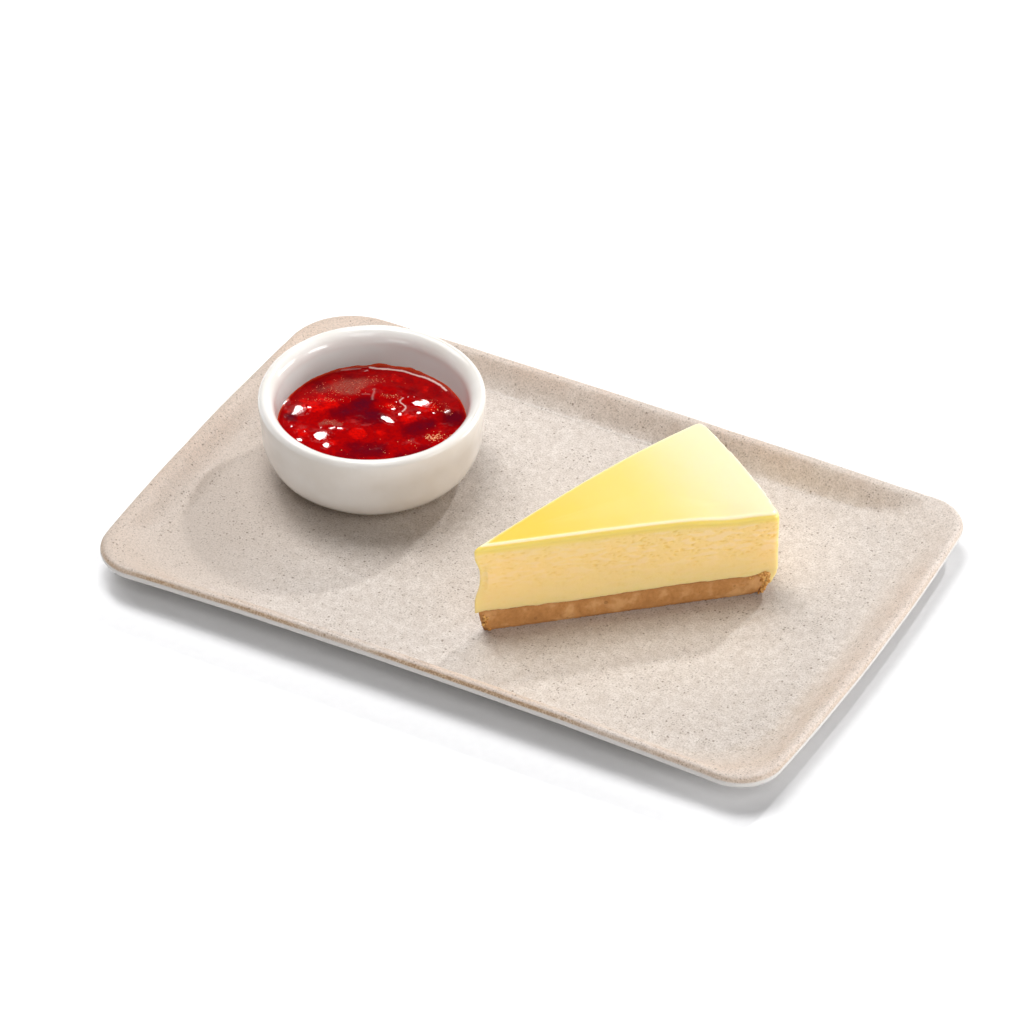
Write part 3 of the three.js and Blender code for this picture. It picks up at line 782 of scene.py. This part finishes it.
SYRUP_RED = (0.36, 0.0012, 0.0016)
FRUIT_RED = (0.62, 0.003, 0.0015)
SYRUP_DEEP = (0.17, 0.001, 0.004)
SYRUP_PLUM = (0.105, 0.0025, 0.01)
FILM_BROWN = (0.27, 0.068, 0.048)
EDGE_ORANGE = (0.72, 0.085, 0.03)
THREAD_AND_HIGHLIGHT_PINK = (0.8, 0.56, 0.52)
BUBBLE_PINK = (0.64, 0.15, 0.09)
syrup, shader, place = new_finish("strawberry_syrup", {
    "IOR": 1.33, "Specular IOR Level": 0.06, "Coat Roughness": 0.03, "Coat IOR": 1.45,
})
depth = mark(shader, "depth")
film = mark(shader, "film")
pulp = cloud(place, 0.0018, 4, 0.6)
film_grain = ramp(cloud(place, 0.0007, 3, 0.7), 0.36, 0.62, 0.15, 1.0)
film_dots = combine(specks(place, 0.001, 0.6, 0.24), ramp(film, 0.05, 0.3, 0.0, 0.9))
lone_dots = combine(specks(place, 0.0032, 0.25, 0.09), 0.8)
set_inputs(shader, {
    "Base Color": layered(
        SYRUP_RED,
        (ramp(mark(shader, "fruit"), 0.25, 0.85), FRUIT_RED),
        (ramp(depth, 0.05, 0.75), SYRUP_DEEP),
        (ramp(depth, 0.65, 1.25), SYRUP_PLUM),
        (ramp(pulp, 0.58, 0.36, 0.0, 0.45), SYRUP_DEEP),
        # The brown film, and one soft glint painted in its colour
        (combine(ramp(film, 0.2, 1.1), film_grain), FILM_BROWN),
        (combine(film_dots, lone_dots, by="MAXIMUM"), BUBBLE_PINK),
        # Pale froth threads, and the painted highlight along the back wall
        (mark(shader, "thread"), THREAD_AND_HIGHLIGHT_PINK),
        (combine(mark(shader, "edge"), 0.8), EDGE_ORANGE),
    ),
    "Roughness": ramp(film, 0.2, 0.8, 0.1, 0.35),
    "Coat Weight": ramp(mark(shader, "wet"), 0.7, 0.95, 0.03, 1.0),
    "Normal": bumped(combine(pulp, 0.00015), 0.3),
})
sauce.data.materials.append(syrup)
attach(sauce, "root")
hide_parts("strawberry_sauce")


# The bubbles in the sauce
# Fine froth left from boiling the syrup. It lies in a patch at the right, in a line where
# the film ends, and here and there as single bubbles.
BUBBLE_SUNK = 0.35
BUBBLE_MARGIN = 0.0015
BUBBLE_SEED = 11

# The tree puts a small grain on every point, of the point's own size, and roughens it
GRAINS, given = new_group("Grains On Points", "GeometryNodeTree", {
    "Geometry": "Geometry", "Unevenness": "Float", "Fineness": "Float", "Seed": "Int",
    "Finish": "Material",
}, {"Geometry": "Geometry"})
grain = add_node(GRAINS, "GeometryNodeMeshIcoSphere", {"Radius": 1.0, "Subdivisions": 2})
own_size = add_node(GRAINS, "GeometryNodeInputNamedAttribute", {"Name": "size"}, data_type="FLOAT")
turned = add_node(GRAINS, "FunctionNodeRandomValue", {
    "Min": (0, 0, 0), "Max": (6.28, 6.28, 6.28), "Seed": given["Seed"],
}, data_type="FLOAT_VECTOR")
placed = add_node(GRAINS, "GeometryNodeInstanceOnPoints", {
    "Points": given["Geometry"], "Instance": grain, "Rotation": turned, "Scale": own_size,
})
real = add_node(GRAINS, "GeometryNodeRealizeInstances", {"Geometry": placed})
end_tree(GRAINS, real, wobble(GRAINS, given["Fineness"], given["Unevenness"]), given["Finish"])


def grain_points(name, places):
    """A mesh of loose points with their sizes, for the grain tree."""
    mesh = bpy.data.meshes.new(name + "_points")
    mesh.from_pydata([place for place, _ in places], [], [])
    sizes = [size for _, size in places]
    mesh.attributes.new("size", "FLOAT", "POINT").data.foreach_set("value", sizes)
    return mesh


# Patches of bubbles: middle, half width and half depth in millimetres, number, size
BUBBLE_PATCHES = (
    (27.6, 4.8, 4.6, 3.2, 90, 0.3), (26.4, 3.4, 2.4, 1.6, 20, 0.42), (19.1, -2.4, 0.9, 0.9, 6, 0.22),
    (-25, 5, 9, 1.6, 60, 0.15), (-22, 13, 9, 4.0, 40, 0.15), (-3, 20.4, 4.5, 1.4, 40, 0.17),
    (1.3, 14.4, 4.2, 1.2, 26, 0.2), (14, 24, 7, 1.5, 22, 0.22), (20, 22, 4, 3.0, 20, 0.2),
    (-13, 28, 9, 3.0, 20, 0.15), (12, -14, 14, 6.0, 18, 0.2), (17, 24, 8, 4.0, 16, 0.18),
    (-2, -30, 12, 3.0, 12, 0.18),
)
drawn = random.Random(BUBBLE_SEED)
seen_across = way(CAMERA_TURN)
seen_away = seen_across.orthogonal()
bubble_places = []
for middle_x, middle_y, half_width, half_depth, number, size in BUBBLE_PATCHES:
    for _ in range(number):
        spot = Vector((middle_x, middle_y)) + seen_across * drawn.gauss(0, 0.5) * half_width
        spot += seen_away * drawn.gauss(0, 0.5) * half_depth
        own = MM * size * drawn.uniform(0.5, 1.35)
        spot *= MM
        if spot.length < SKIN_EDGE - BUBBLE_MARGIN:
            level = sauce_skin(spot.x, spot.y)[0] - own * BUBBLE_SUNK
            bubble_places.append((BOWL_CENTRE + Vector((spot.x, spot.y, level)), own))

BUBBLE_ORANGE = (0.86, 0.4, 0.18)
BUBBLE_DEEP = (0.56, 0.07, 0.03)
froth, shader, place = new_finish("syrup_froth", {"Roughness": 0.12, "IOR": 1.4})
tint = ramp(cloud(place, 0.0012, 2), 0.35, 0.65)
set_inputs(shader, {"Base Color": layered(BUBBLE_DEEP, (tint, BUBBLE_ORANGE))})
bubbles = grown("sauce_bubbles", grain_points("bubble", bubble_places), GRAINS, {
    "Unevenness": 0.0, "Fineness": 100.0, "Seed": 3, "Finish": froth,
})
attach(bubbles, "root")


# The slice: its outline
# A wedge cut from a round cake with a wet knife. Its base, cheese and top share one
# outline, drawn in its own frame with the tip at the origin and the middle along +X.
SLICE_TIP = Vector((0.0049, -0.0602, FLOOR_HEIGHT))
SLICE_TURN = math.radians(56.3)
HALF_ANGLE = math.radians(31.6 / 2)
SLICE_RADIUS = 0.1277
FAR_REACH = 0.0024
BACK_BULGE = 0.0018
FAR_BULGE = 0.0014
BACK_RAGGED = 0.0006
TIP_ROUND = 0.0024
CORNER_ROUND = 0.003
ROUND_STEPS = 8
TIP_HEIGHT = 0.0444
BACK_HEIGHT = 0.0401
TOP_CROWN = 0.0018
CROWN_SKEW = 1.45
EDGE_DIP = 0.0009
BISCUIT_END_RISE = 0.0012
BASE_THICKNESS = 0.0101
TOP_THICKNESS = 0.003
FACE_STEPS = 240
BACK_STEPS = 130
slice_place = Matrix.Translation(SLICE_TIP) @ Matrix.Rotation(SLICE_TURN, 4, "Z")


def on_platter(point, height):
    """Where a point of the slice's own frame lies, at a height over the platter's floor."""
    return slice_place @ Vector((point.x, point.y, height))


def slice_outline(radius, inset):
    """Points of the wedge, anticlockwise from the tip, drawn in by inset all round."""
    tip = Vector((inset / math.sin(HALF_ANGLE), 0))
    corners = []
    for side, reach in ((-1, radius), (1, radius + FAR_REACH)):
        across = reach * math.sin(HALF_ANGLE) - inset / math.cos(HALF_ANGLE)
        across -= inset * math.tan(HALF_ANGLE)
        corners.append(Vector((reach * math.cos(HALF_ANGLE) - inset, side * across)))
    near, far = corners
    outline = []

    def add_side(start, end, cut_start, cut_end, steps, bulge, ragged=0.0):
        length = (end - start).length
        outwards = Vector((end.y - start.y, start.x - end.x)) / length
        for i in range(steps + 1):
            share = mix(cut_start / length, 1 - cut_end / length, i / steps)
            loose = ragged * smooth(0.5 - abs(share - 0.5), 0.04, 0.12)
            off = bulge * 4 * share * (1 - share) + loose * noise.noise(Vector((share * 15, 3, 0)))
            outline.append(start.lerp(end, share) + outwards * off)

    def add_round(before, at, after, cut):
        start = at.lerp(before, cut / (at - before).length)
        end = at.lerp(after, cut / (at - after).length)
        for i in range(1, ROUND_STEPS):
            share = i / ROUND_STEPS
            outline.append(start.lerp(at, share).lerp(at.lerp(end, share), share))

    add_side(tip, near, TIP_ROUND, CORNER_ROUND, FACE_STEPS, 0)
    add_round(tip, near, far, CORNER_ROUND)
    add_side(near, far, CORNER_ROUND, CORNER_ROUND, BACK_STEPS, BACK_BULGE, BACK_RAGGED)
    add_round(near, far, tip, CORNER_ROUND)
    add_side(far, tip, CORNER_ROUND, TIP_ROUND, FACE_STEPS, FAR_BULGE)
    add_round(far, tip, near, TIP_ROUND)
    return outline


def outwards_of(outline):
    """Outward unit normals of an anticlockwise outline, and how far round each point lies."""
    count = len(outline)
    normals = []
    lengths = [0.0]
    for i in range(count):
        along = outline[(i + 1) % count] - outline[i - 1]
        normals.append(Vector((along.y, -along.x)).normalized())
        if i:
            lengths.append(lengths[-1] + (outline[i] - outline[i - 1]).length)
    return normals, lengths


def near_share(point, start):
    """From 0 at a share of the way out from the middle to 1 at the near face."""
    return smooth(-point.y / max(point.x * math.tan(HALF_ANGLE), 0.001), start, 1.0)


def cake_top(point):
    """Height of the finished top above the platter's floor."""
    share = min(1.0, max(0.0, point.x / SLICE_RADIUS))
    crown = TOP_CROWN * math.sin(math.pi * share ** CROWN_SKEW)
    dip = EDGE_DIP * math.exp(-((share - 0.8) / 0.07) ** 2) * near_share(point, 0.4)
    return mix(TIP_HEIGHT, BACK_HEIGHT, share) + crown - dip


def grit(point, size, depth):
    """Noise of a given grain size in metres."""
    return depth * noise.noise(Vector(point) / size)


def base_top(point):
    """Height of the seam between the biscuit base and the cheese."""
    wave = 0.0003 * math.sin(point.x * 90 + 0.6) + grit((point.x, 0, 0), 0.009, 0.0004)
    return BASE_THICKNESS + wave + BISCUIT_END_RISE * smooth(point.x, 0.1115, 0.1165)


# The biscuit base
# Crushed biscuit bound with butter and pressed into the tin. The knife leaves a fairly
# smooth face, and its back edge crumbles away under the cake.
BASE_BACK_RECESS = 0.004
BASE_BACK_UNDERCUT = 0.0048
BACK_UNDERCUT_BEND = 2.6
BASE_TIP_RECESS = 0.0016
BASE_TIP_UNDERCUT = 0.0024
BASE_LEVELS = 24
RESTING_GAP = 0.00005
base_rings = []
base_levels = []


def add_base_ring(radius, inset, level, is_face):
    outline = slice_outline(radius, inset)
    ring = []
    for point, normal in zip(outline, outwards_of(outline)[0]):
        height = level * base_top(point)
        place = point.copy()
        if is_face:
            spot = Vector((point.x, point.y, height))
            inwards = 0.0003 + grit(spot, 0.004, 0.00025) + grit(spot, 0.0016, 0.00022)
            inwards += grit(spot, 0.0007, 0.00012) + 0.0007 * max(0.0, 1 - level * 7)
            behind = smooth(point.x, radius * 0.93, radius * 0.97)
            inwards += behind * (grit(spot, 0.0022, 0.0008) + grit(spot, 0.001, 0.0004))
            recess = BASE_TIP_RECESS + BASE_TIP_UNDERCUT * (1 - level) ** 1.2
            blunt = recess * (1 - smooth(point.length, 0, 0.007))
            place += Vector((blunt, 0)) - normal * inwards
        ring.append(on_platter(place, height + RESTING_GAP))
    base_rings.append(ring)
    base_levels.append([level] * len(ring))


add_base_ring(SLICE_RADIUS - BASE_BACK_RECESS - BASE_BACK_UNDERCUT, 0.005, 0, False)
for k in range(BASE_LEVELS + 1):
    level = k / BASE_LEVELS
    recess = BASE_BACK_RECESS + BASE_BACK_UNDERCUT * (1 - level) ** BACK_UNDERCUT_BEND
    add_base_ring(SLICE_RADIUS - recess, 0, level, True)
for inset in (0.0014, 0.003, 0.006):
    add_base_ring(SLICE_RADIUS - BASE_BACK_RECESS, inset, 1, False)
biscuit_base = ring_skin("biscuit_base_crumb", base_rings, {"level": base_levels})

BISCUIT_BROWN = (0.522, 0.233, 0.066)
BISCUIT_DARK = (0.42, 0.175, 0.045)
BISCUIT_GOLD = (0.67, 0.355, 0.135)
BISCUIT_SPOT = (0.25, 0.095, 0.02)
biscuit, shader, place = new_finish("pressed_biscuit", {"Roughness": 0.8})
blotch = cloud(place, 0.0075, 3)
crumb = cloud(place, 0.0013, 4, 0.65)
set_inputs(shader, {
    "Base Color": layered(
        BISCUIT_BROWN,
        (ramp(crumb, 0.6, 0.34, 0.0, 0.55), BISCUIT_DARK),
        (ramp(blotch, 0.5, 0.66, 0.0, 0.75), BISCUIT_GOLD),
        (ramp(blotch, 0.46, 0.32, 0.0, 0.7), BISCUIT_DARK),
        (combine(specks(place, 0.0058, 0.28, 0.16), 0.55), BISCUIT_SPOT),
        (ramp(mark(shader, "level"), 0.8, 0.97, 0.0, 0.45), BISCUIT_DARK),
    ),
    "Normal": bumped(combine(crumb, 0.0003), 0.6),
})
biscuit_base.data.materials.append(biscuit)
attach(biscuit_base, "root")
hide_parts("biscuit_base")


# The crumbs
# Bits of biscuit that broke from the base's back edge and its corners when the slice was
# lifted. They lie at its foot and stick to its ends.
NEAR_WAY = way(-HALF_ANGLE)
NEAR_OUT = -NEAR_WAY.orthogonal()
FOOT_CRUMBS = 60
END_CRUMBS = 90
CRUMB_SEED = 7
# Down the broken near end of the base: how far from the slice's back, and how high
END_SLANT = ((0.0036, 0.01), (0.005, 0.005), (0.0084, 0.0004))
# Stuck to the near face at its end and at the tip, in millimetres: how far from the back,
# height, how far out, size
STUCK_CRUMBS = (
    (6.2, 11.2, -0.1, 1.0), (7.4, 10.8, -0.2, 0.9), (5.0, 10.4, -0.2, 1.0), (4.6, 9.0, -0.3, 0.9),
    (6.0, 9.6, -0.4, 1.0), (8.3, 10.0, -0.4, 0.8), (4.8, 7.2, -0.4, 0.8), (11.2, 8.4, -0.5, 0.7),
    (12.4, 8.8, -0.5, 0.6), (4.6, 9.8, -1.0, 1.5), (5.8, 8.0, -1.4, 1.6), (4.6, 6.4, -1.0, 1.4),
    (6.0, 4.6, -1.4, 1.7), (6.8, 2.6, -1.2, 1.4), (5.0, 8.2, -0.2, 0.9), (5.6, 5.6, -0.2, 0.8),
    (6.4, 3.4, -0.2, 0.8), (7.4, 1.4, -0.4, 0.8), (6.6, 9.0, -0.7, 1.3), (7.0, 7.0, -0.7, 1.2),
    (6.4, 10.0, -0.6, 1.1), (122.6, 6.6, 0.1, 0.9), (121.8, 4.8, 0.0, 0.7), (123.2, 4.0, -0.2, 0.7),
    (121.2, 7.0, -0.2, 0.6), (122.9, 8.2, -0.1, 0.6), (120.5, 1.2, 0.0, 0.7),
)
crumb_places = []
drawn = random.Random(CRUMB_SEED)
back_foot = slice_outline(SLICE_RADIUS - BASE_BACK_RECESS - BASE_BACK_UNDERCUT, 0)
back_foot = back_foot[FACE_STEPS + 3:FACE_STEPS + BACK_STEPS + 12]
for _ in range(FOOT_CRUMBS):
    size = drawn.uniform(0.00022, 0.0007)
    point = drawn.choice(back_foot) + Vector((drawn.uniform(-0.0004, 0.0038), drawn.gauss(0, 0.0004)))
    crumb_places.append((on_platter(point, size * 0.8), size))
for _ in range(END_CRUMBS):
    share = drawn.uniform(0, 2)
    start, end = END_SLANT[int(share)], END_SLANT[int(share) + 1]
    depth = mix(start[0], end[0], share % 1) + drawn.gauss(0.0002, 0.0006)
    rise = mix(start[1], end[1], share % 1) + drawn.gauss(0, 0.0005)
    size = drawn.uniform(0.00022, 0.00062)
    point = NEAR_WAY * (SLICE_RADIUS - depth) - NEAR_OUT * drawn.uniform(0.0, 0.003)
    crumb_places.append((on_platter(point, max(rise, size * 0.7)), size))
for values in STUCK_CRUMBS:
    depth, rise, out, size = (MM * value for value in values)
    point = NEAR_WAY * (SLICE_RADIUS - depth) + NEAR_OUT * out
    crumb_places.append((on_platter(point, rise), size))

CRUMB_GOLD = (0.78, 0.44, 0.13)
CRUMB_DARK = (0.48, 0.19, 0.035)
crumb_finish, shader, place = new_finish("loose_crumb", {"Roughness": 0.8})
toast = ramp(cloud(place, 0.0016, 3, 0.6), 0.38, 0.62)
set_inputs(shader, {"Base Color": layered(CRUMB_DARK, (toast, CRUMB_GOLD))})
crumbs = grown("biscuit_crumbs", grain_points("crumb", crumb_places), GRAINS, {
    "Unevenness": 0.0008, "Fineness": 1100.0, "Seed": 5, "Finish": crumb_finish,
})
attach(crumbs, "root")


# The cheese filling
# Baked cream cheese, dense and smooth. The knife has dragged fine pores and flat streaks
# across its cut faces, most of them in the upper half.
TIP_PINCH = 0.0024
FACE_WAVE = 0.0002
CHEESE_LEVELS = 96


def face_noise(along, height, length, depth, layer):
    """Noise in the cut face, in features of the given length and depth in metres."""
    return noise.noise(Vector((along / length, height / depth, layer)))


def face_relief(point, along, height, share):
    """How far the cut face lies in from the knife's plane, how pitted it is and how raised."""
    wave = FACE_WAVE * math.sin(point.x * 110 + height * 90) * math.cos(point.x * 43 - height * 130)
    streak = face_noise(along, height, 0.0052, 0.0016, 3.7)
    pore = face_noise(along, height, 0.0019, 0.0009, 9.1)
    fine = face_noise(along, height, 0.0009, 0.0006, 1.3)
    upper = (0.25 + 0.75 * smooth(share, 0.25, 0.6)) * (1 - 0.5 * smooth(share, 0.9, 1.0))
    towards_back = 0.65 + 0.35 * smooth(point.x, 0.035, 0.085)
    pits = smooth(pore + 0.45 * fine, 0.1, 0.5) * smooth(streak, -0.12, 0.22) * upper * towards_back
    raised = smooth(-streak - 0.3 * pore, 0.05, 0.35) * upper * towards_back
    drift = 0.00012 * face_noise(along, height, 0.012, 0.003, 0)
    return wave + 0.0003 * pits - 0.0001 * raised + drift, pits, raised


cheese_rings = []
cheese_marks = {"pores": [], "raised": [], "below_top": []}
for inset in (0.009, 0.001):
    outline = slice_outline(SLICE_RADIUS, inset)
    cheese_rings.append([on_platter(point, base_top(point) + RESTING_GAP) for point in outline])
    for values, value in zip(cheese_marks.values(), (0.0, 0.0, 0.03)):
        values.append([value] * len(outline))
face_outline = slice_outline(SLICE_RADIUS, 0)
face_normals, face_along = outwards_of(face_outline)
for share in (*(k / CHEESE_LEVELS for k in range(CHEESE_LEVELS)), 0.997, 1.0):
    found = []
    for point, normal, along in zip(face_outline, face_normals, face_along):
        ragged = 0.0004 * face_noise(along, 0, 0.0045, 1, 5)
        ragged += 0.0002 * face_noise(along, 0, 0.0013, 1, 6)
        bottom = base_top(point) + ragged * (1 - smooth(share, 0, 0.15))
        top = cake_top(point) - TOP_THICKNESS
        height = mix(bottom, top, share)
        inwards, pore, raised = face_relief(point, along, height, share)
        inwards = inwards * smooth(top - height, 0, 0.0015) + 0.0005 * (1 - smooth(share, 0, 0.02))
        tall = (height - BASE_THICKNESS) / (TIP_HEIGHT - BASE_THICKNESS)
        waist = smooth(tall, 0.16, 0.46) * (1 - smooth(tall, 0.58, 0.86))
        pinch = TIP_PINCH * waist * (1 - smooth(point.length, 0.002, 0.0075))
        place = point - normal * inwards * smooth(point.length, 0.001, 0.006) + Vector((pinch, 0))
        found.append((on_platter(place, height), pore, raised, cake_top(point) - height))
    for values, own in zip((cheese_rings, *cheese_marks.values()), zip(*found)):
        values.append(own)
cheese = ring_skin("cheese_filling_body", cheese_rings, cheese_marks)

CHEESE_CREAM = (0.955, 0.66, 0.252)
CHEESE_LOW = (0.91, 0.665, 0.268)
CHEESE_PORE_SHADE = (0.86, 0.55, 0.115)
CHEESE_RAISED = (0.96, 0.69, 0.37)
CHEESE_SEAM = (0.8, 0.56, 0.25)
EDGE_GOLD = (0.998, 0.7, 0.15)
cheese_finish, shader, place = new_finish("baked_cheese", {
    "Roughness": 0.55, "Subsurface Weight": 0.35, "Subsurface Scale": 0.008,
    "Subsurface Radius": (1.0, 0.6, 0.25),
})
below_top = mark(shader, "below_top")
set_inputs(shader, {
    "Base Color": layered(
        CHEESE_CREAM,
        (ramp(below_top, 0.01, 0.032), CHEESE_LOW),
        (ramp(cloud(place, 0.012, 3), 0.4, 0.75, 0.0, 0.3), CHEESE_LOW),
        (combine(mark(shader, "raised"), 0.7), CHEESE_RAISED),
        # Painted shade: the pores are painted darker and a deeper yellow
        (combine(mark(shader, "pores"), 0.85), CHEESE_PORE_SHADE),
        (ramp(below_top, 0.0318, 0.035, 0.0, 0.6), CHEESE_SEAM),
        (ramp(below_top, 0.005, 0.0028), EDGE_GOLD),
    ),
    "Normal": bumped(combine(cloud(place, 0.0009, 4, 0.6), 0.00016), 0.4),
})
cheese.data.materials.append(cheese_finish)
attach(cheese, "root")
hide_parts("cheese_filling")


# The smear at the back
# Where the cake was lifted from its tin, a strip of cheese was dragged down over the
# crumbling back edge of the biscuit. It is one with the filling.
SMEAR_GRAIN = 0.0024
# Its section, from the outside round to the inside: depth from the back face, and rise
# above the seam
SMEAR_SECTION = (
    (0.0007, 0.006), (0.0002, 0.0048), (0.0, 0.002), (0.0002, -0.0004), (0.0008, -0.0018),
    (0.0015, -0.0032), (0.0023, -0.0046), (0.0031, -0.0056), (0.0037, -0.0048), (0.0039, -0.002),
    (0.004, 0.001), (0.004, 0.004), (0.0032, 0.006),
)
back_points = [NEAR_WAY * (SLICE_RADIUS - CORNER_ROUND)]
back_points += face_outline[FACE_STEPS + 1:FACE_STEPS + BACK_STEPS + 16]
smear_rings = []
for point in back_points:
    inwards = -point.normalized()
    ring = []
    for depth, rise in SMEAR_SECTION:
        loose = smooth(-rise, 0.001, 0.005)
        spot = Vector((point.y, depth, rise)) / SMEAR_GRAIN
        ragged = loose * (0.0008 * noise.noise(spot) + 0.0005 * noise.noise(spot * 2.7))
        place = point + inwards * (depth + loose * 0.0005 * noise.noise(spot * 1.6))
        ring.append(on_platter(place, BASE_THICKNESS + rise + ragged))
    smear_rings.append(ring)
smear = ring_skin("cheese_smear", smear_rings, {
    label: [[value] * len(SMEAR_SECTION)] * len(smear_rings)
    for label, value in (("pores", 0.0), ("raised", 0.0), ("below_top", 0.028))
})
smear.data.materials.append(cheese_finish)
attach(smear, "root")


# The yellow top
# The baked cake is finished with a thin smooth yellow layer. It set level in the tin,
# so it is flat and shiny, and the knife has rounded it over at the edges.
OTHER_SIDES_STEEPER = 0.8
# Its edge over the near face, from the cheese up: inset from the outline, and depth
TOP_EDGE = (
    (0.0, 0.003), (0.0, 0.0024), (0.0001, 0.0018), (0.0003, 0.00135), (0.0006, 0.00092),
    (0.0009, 0.0006), (0.0012, 0.00036), (0.0015, 0.0002), (0.0019, 0.00009), (0.0024, 0.00003),
)
top_stations = [
    (0.004, TOP_THICKNESS), (0.0008, TOP_THICKNESS), (0.00005, TOP_THICKNESS),
    (0.0, TOP_THICKNESS), (0.0, TOP_THICKNESS - 0.00008),
]
for start, end in zip(TOP_EDGE, TOP_EDGE[1:]):
    top_stations += [(mix(start[0], end[0], 0.5), mix(start[1], end[1], 0.5)), end]
top_stations += [(inset, 0.0) for inset in (0.0032, 0.0042, 0.0052, 0.0064, 0.008, 0.01)]
way_round = face_along[-1]
top_rings = []
top_marks = {"along": [], "edge": [], "crest": [], "near": []}
for inset, depth in top_stations:
    slanted = slice_outline(SLICE_RADIUS, inset)
    steep = slice_outline(SLICE_RADIUS, inset * OTHER_SIDES_STEEPER)
    outline = []
    for near_point, other_point, along in zip(slanted, steep, face_along):
        beyond = smooth(along, SLICE_RADIUS - 0.009, SLICE_RADIUS)
        beyond *= 1 - smooth(along, way_round - 0.008, way_round)
        outline.append(near_point.lerp(other_point, beyond))
    top_rings.append([
        on_platter(point, cake_top(point) - depth + grit((point.x, point.y, 0), 0.009, 0.00004))
        for point in outline
    ])
    edge = smooth(depth, 0.0006, 0.0014)
    # The crest marks a painted highlight: a cream line where the edge turns over
    crest = smooth(depth, 0.0, 0.0003) * (1 - smooth(depth, 0.0005, 0.001))
    top_marks["along"].append([point.x / SLICE_RADIUS for point in outline])
    top_marks["edge"].append([edge] * len(outline))
    top_marks["crest"].append([crest] * len(outline))
    top_marks["near"].append([near_share(point, 0.3) for point in outline])
yellow_top = ring_skin("yellow_top_layer", top_rings, top_marks)

TOP_YELLOW = (0.95, 0.59, 0.068)
TOP_MIDDLE = (0.95, 0.65, 0.165)
TOP_SHEEN_CREAM = (0.945, 0.735, 0.44)
CREST_HIGHLIGHT_CREAM = (0.98, 0.86, 0.6)
top_finish, shader, place = new_finish("yellow_top_finish", {
    "IOR": 1.5, "Coat Weight": 0.6, "Coat Roughness": 0.25,
    "Subsurface Weight": 0.3, "Subsurface Scale": 0.006, "Subsurface Radius": (1.0, 0.6, 0.15),
})
along = mark(shader, "along")
sheen = cloud(place, 0.006, 3)
set_inputs(shader, {
    "Base Color": layered(
        TOP_YELLOW,
        # Painted sheen: towards the back the top is painted paler, through middle yellow to cream, and
        # cream along the near edge there; the coat adds a real sheen too
        (ramp(along, 0.15, 0.6), TOP_MIDDLE),
        (ramp(along, 0.55, 0.95), TOP_SHEEN_CREAM),
        (ramp(cloud(place, 0.03, 2), 0.45, 0.75, 0.0, 0.25), TOP_YELLOW),
        (combine(mark(shader, "near"), ramp(along, 0.3, 0.6, 0.0, 0.12)), TOP_SHEEN_CREAM),
        (mark(shader, "edge"), EDGE_GOLD),
        # Painted highlight along the crest
        (combine(mark(shader, "crest"), 0.8), CREST_HIGHLIGHT_CREAM),
    ),
    "Roughness": ramp(sheen, 0.3, 0.7, 0.28, 0.34),
    "Normal": bumped(combine(sheen, 0.00005), 0.3),
})
yellow_top.data.materials.append(top_finish)
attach(yellow_top, "root")
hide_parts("yellow_top")
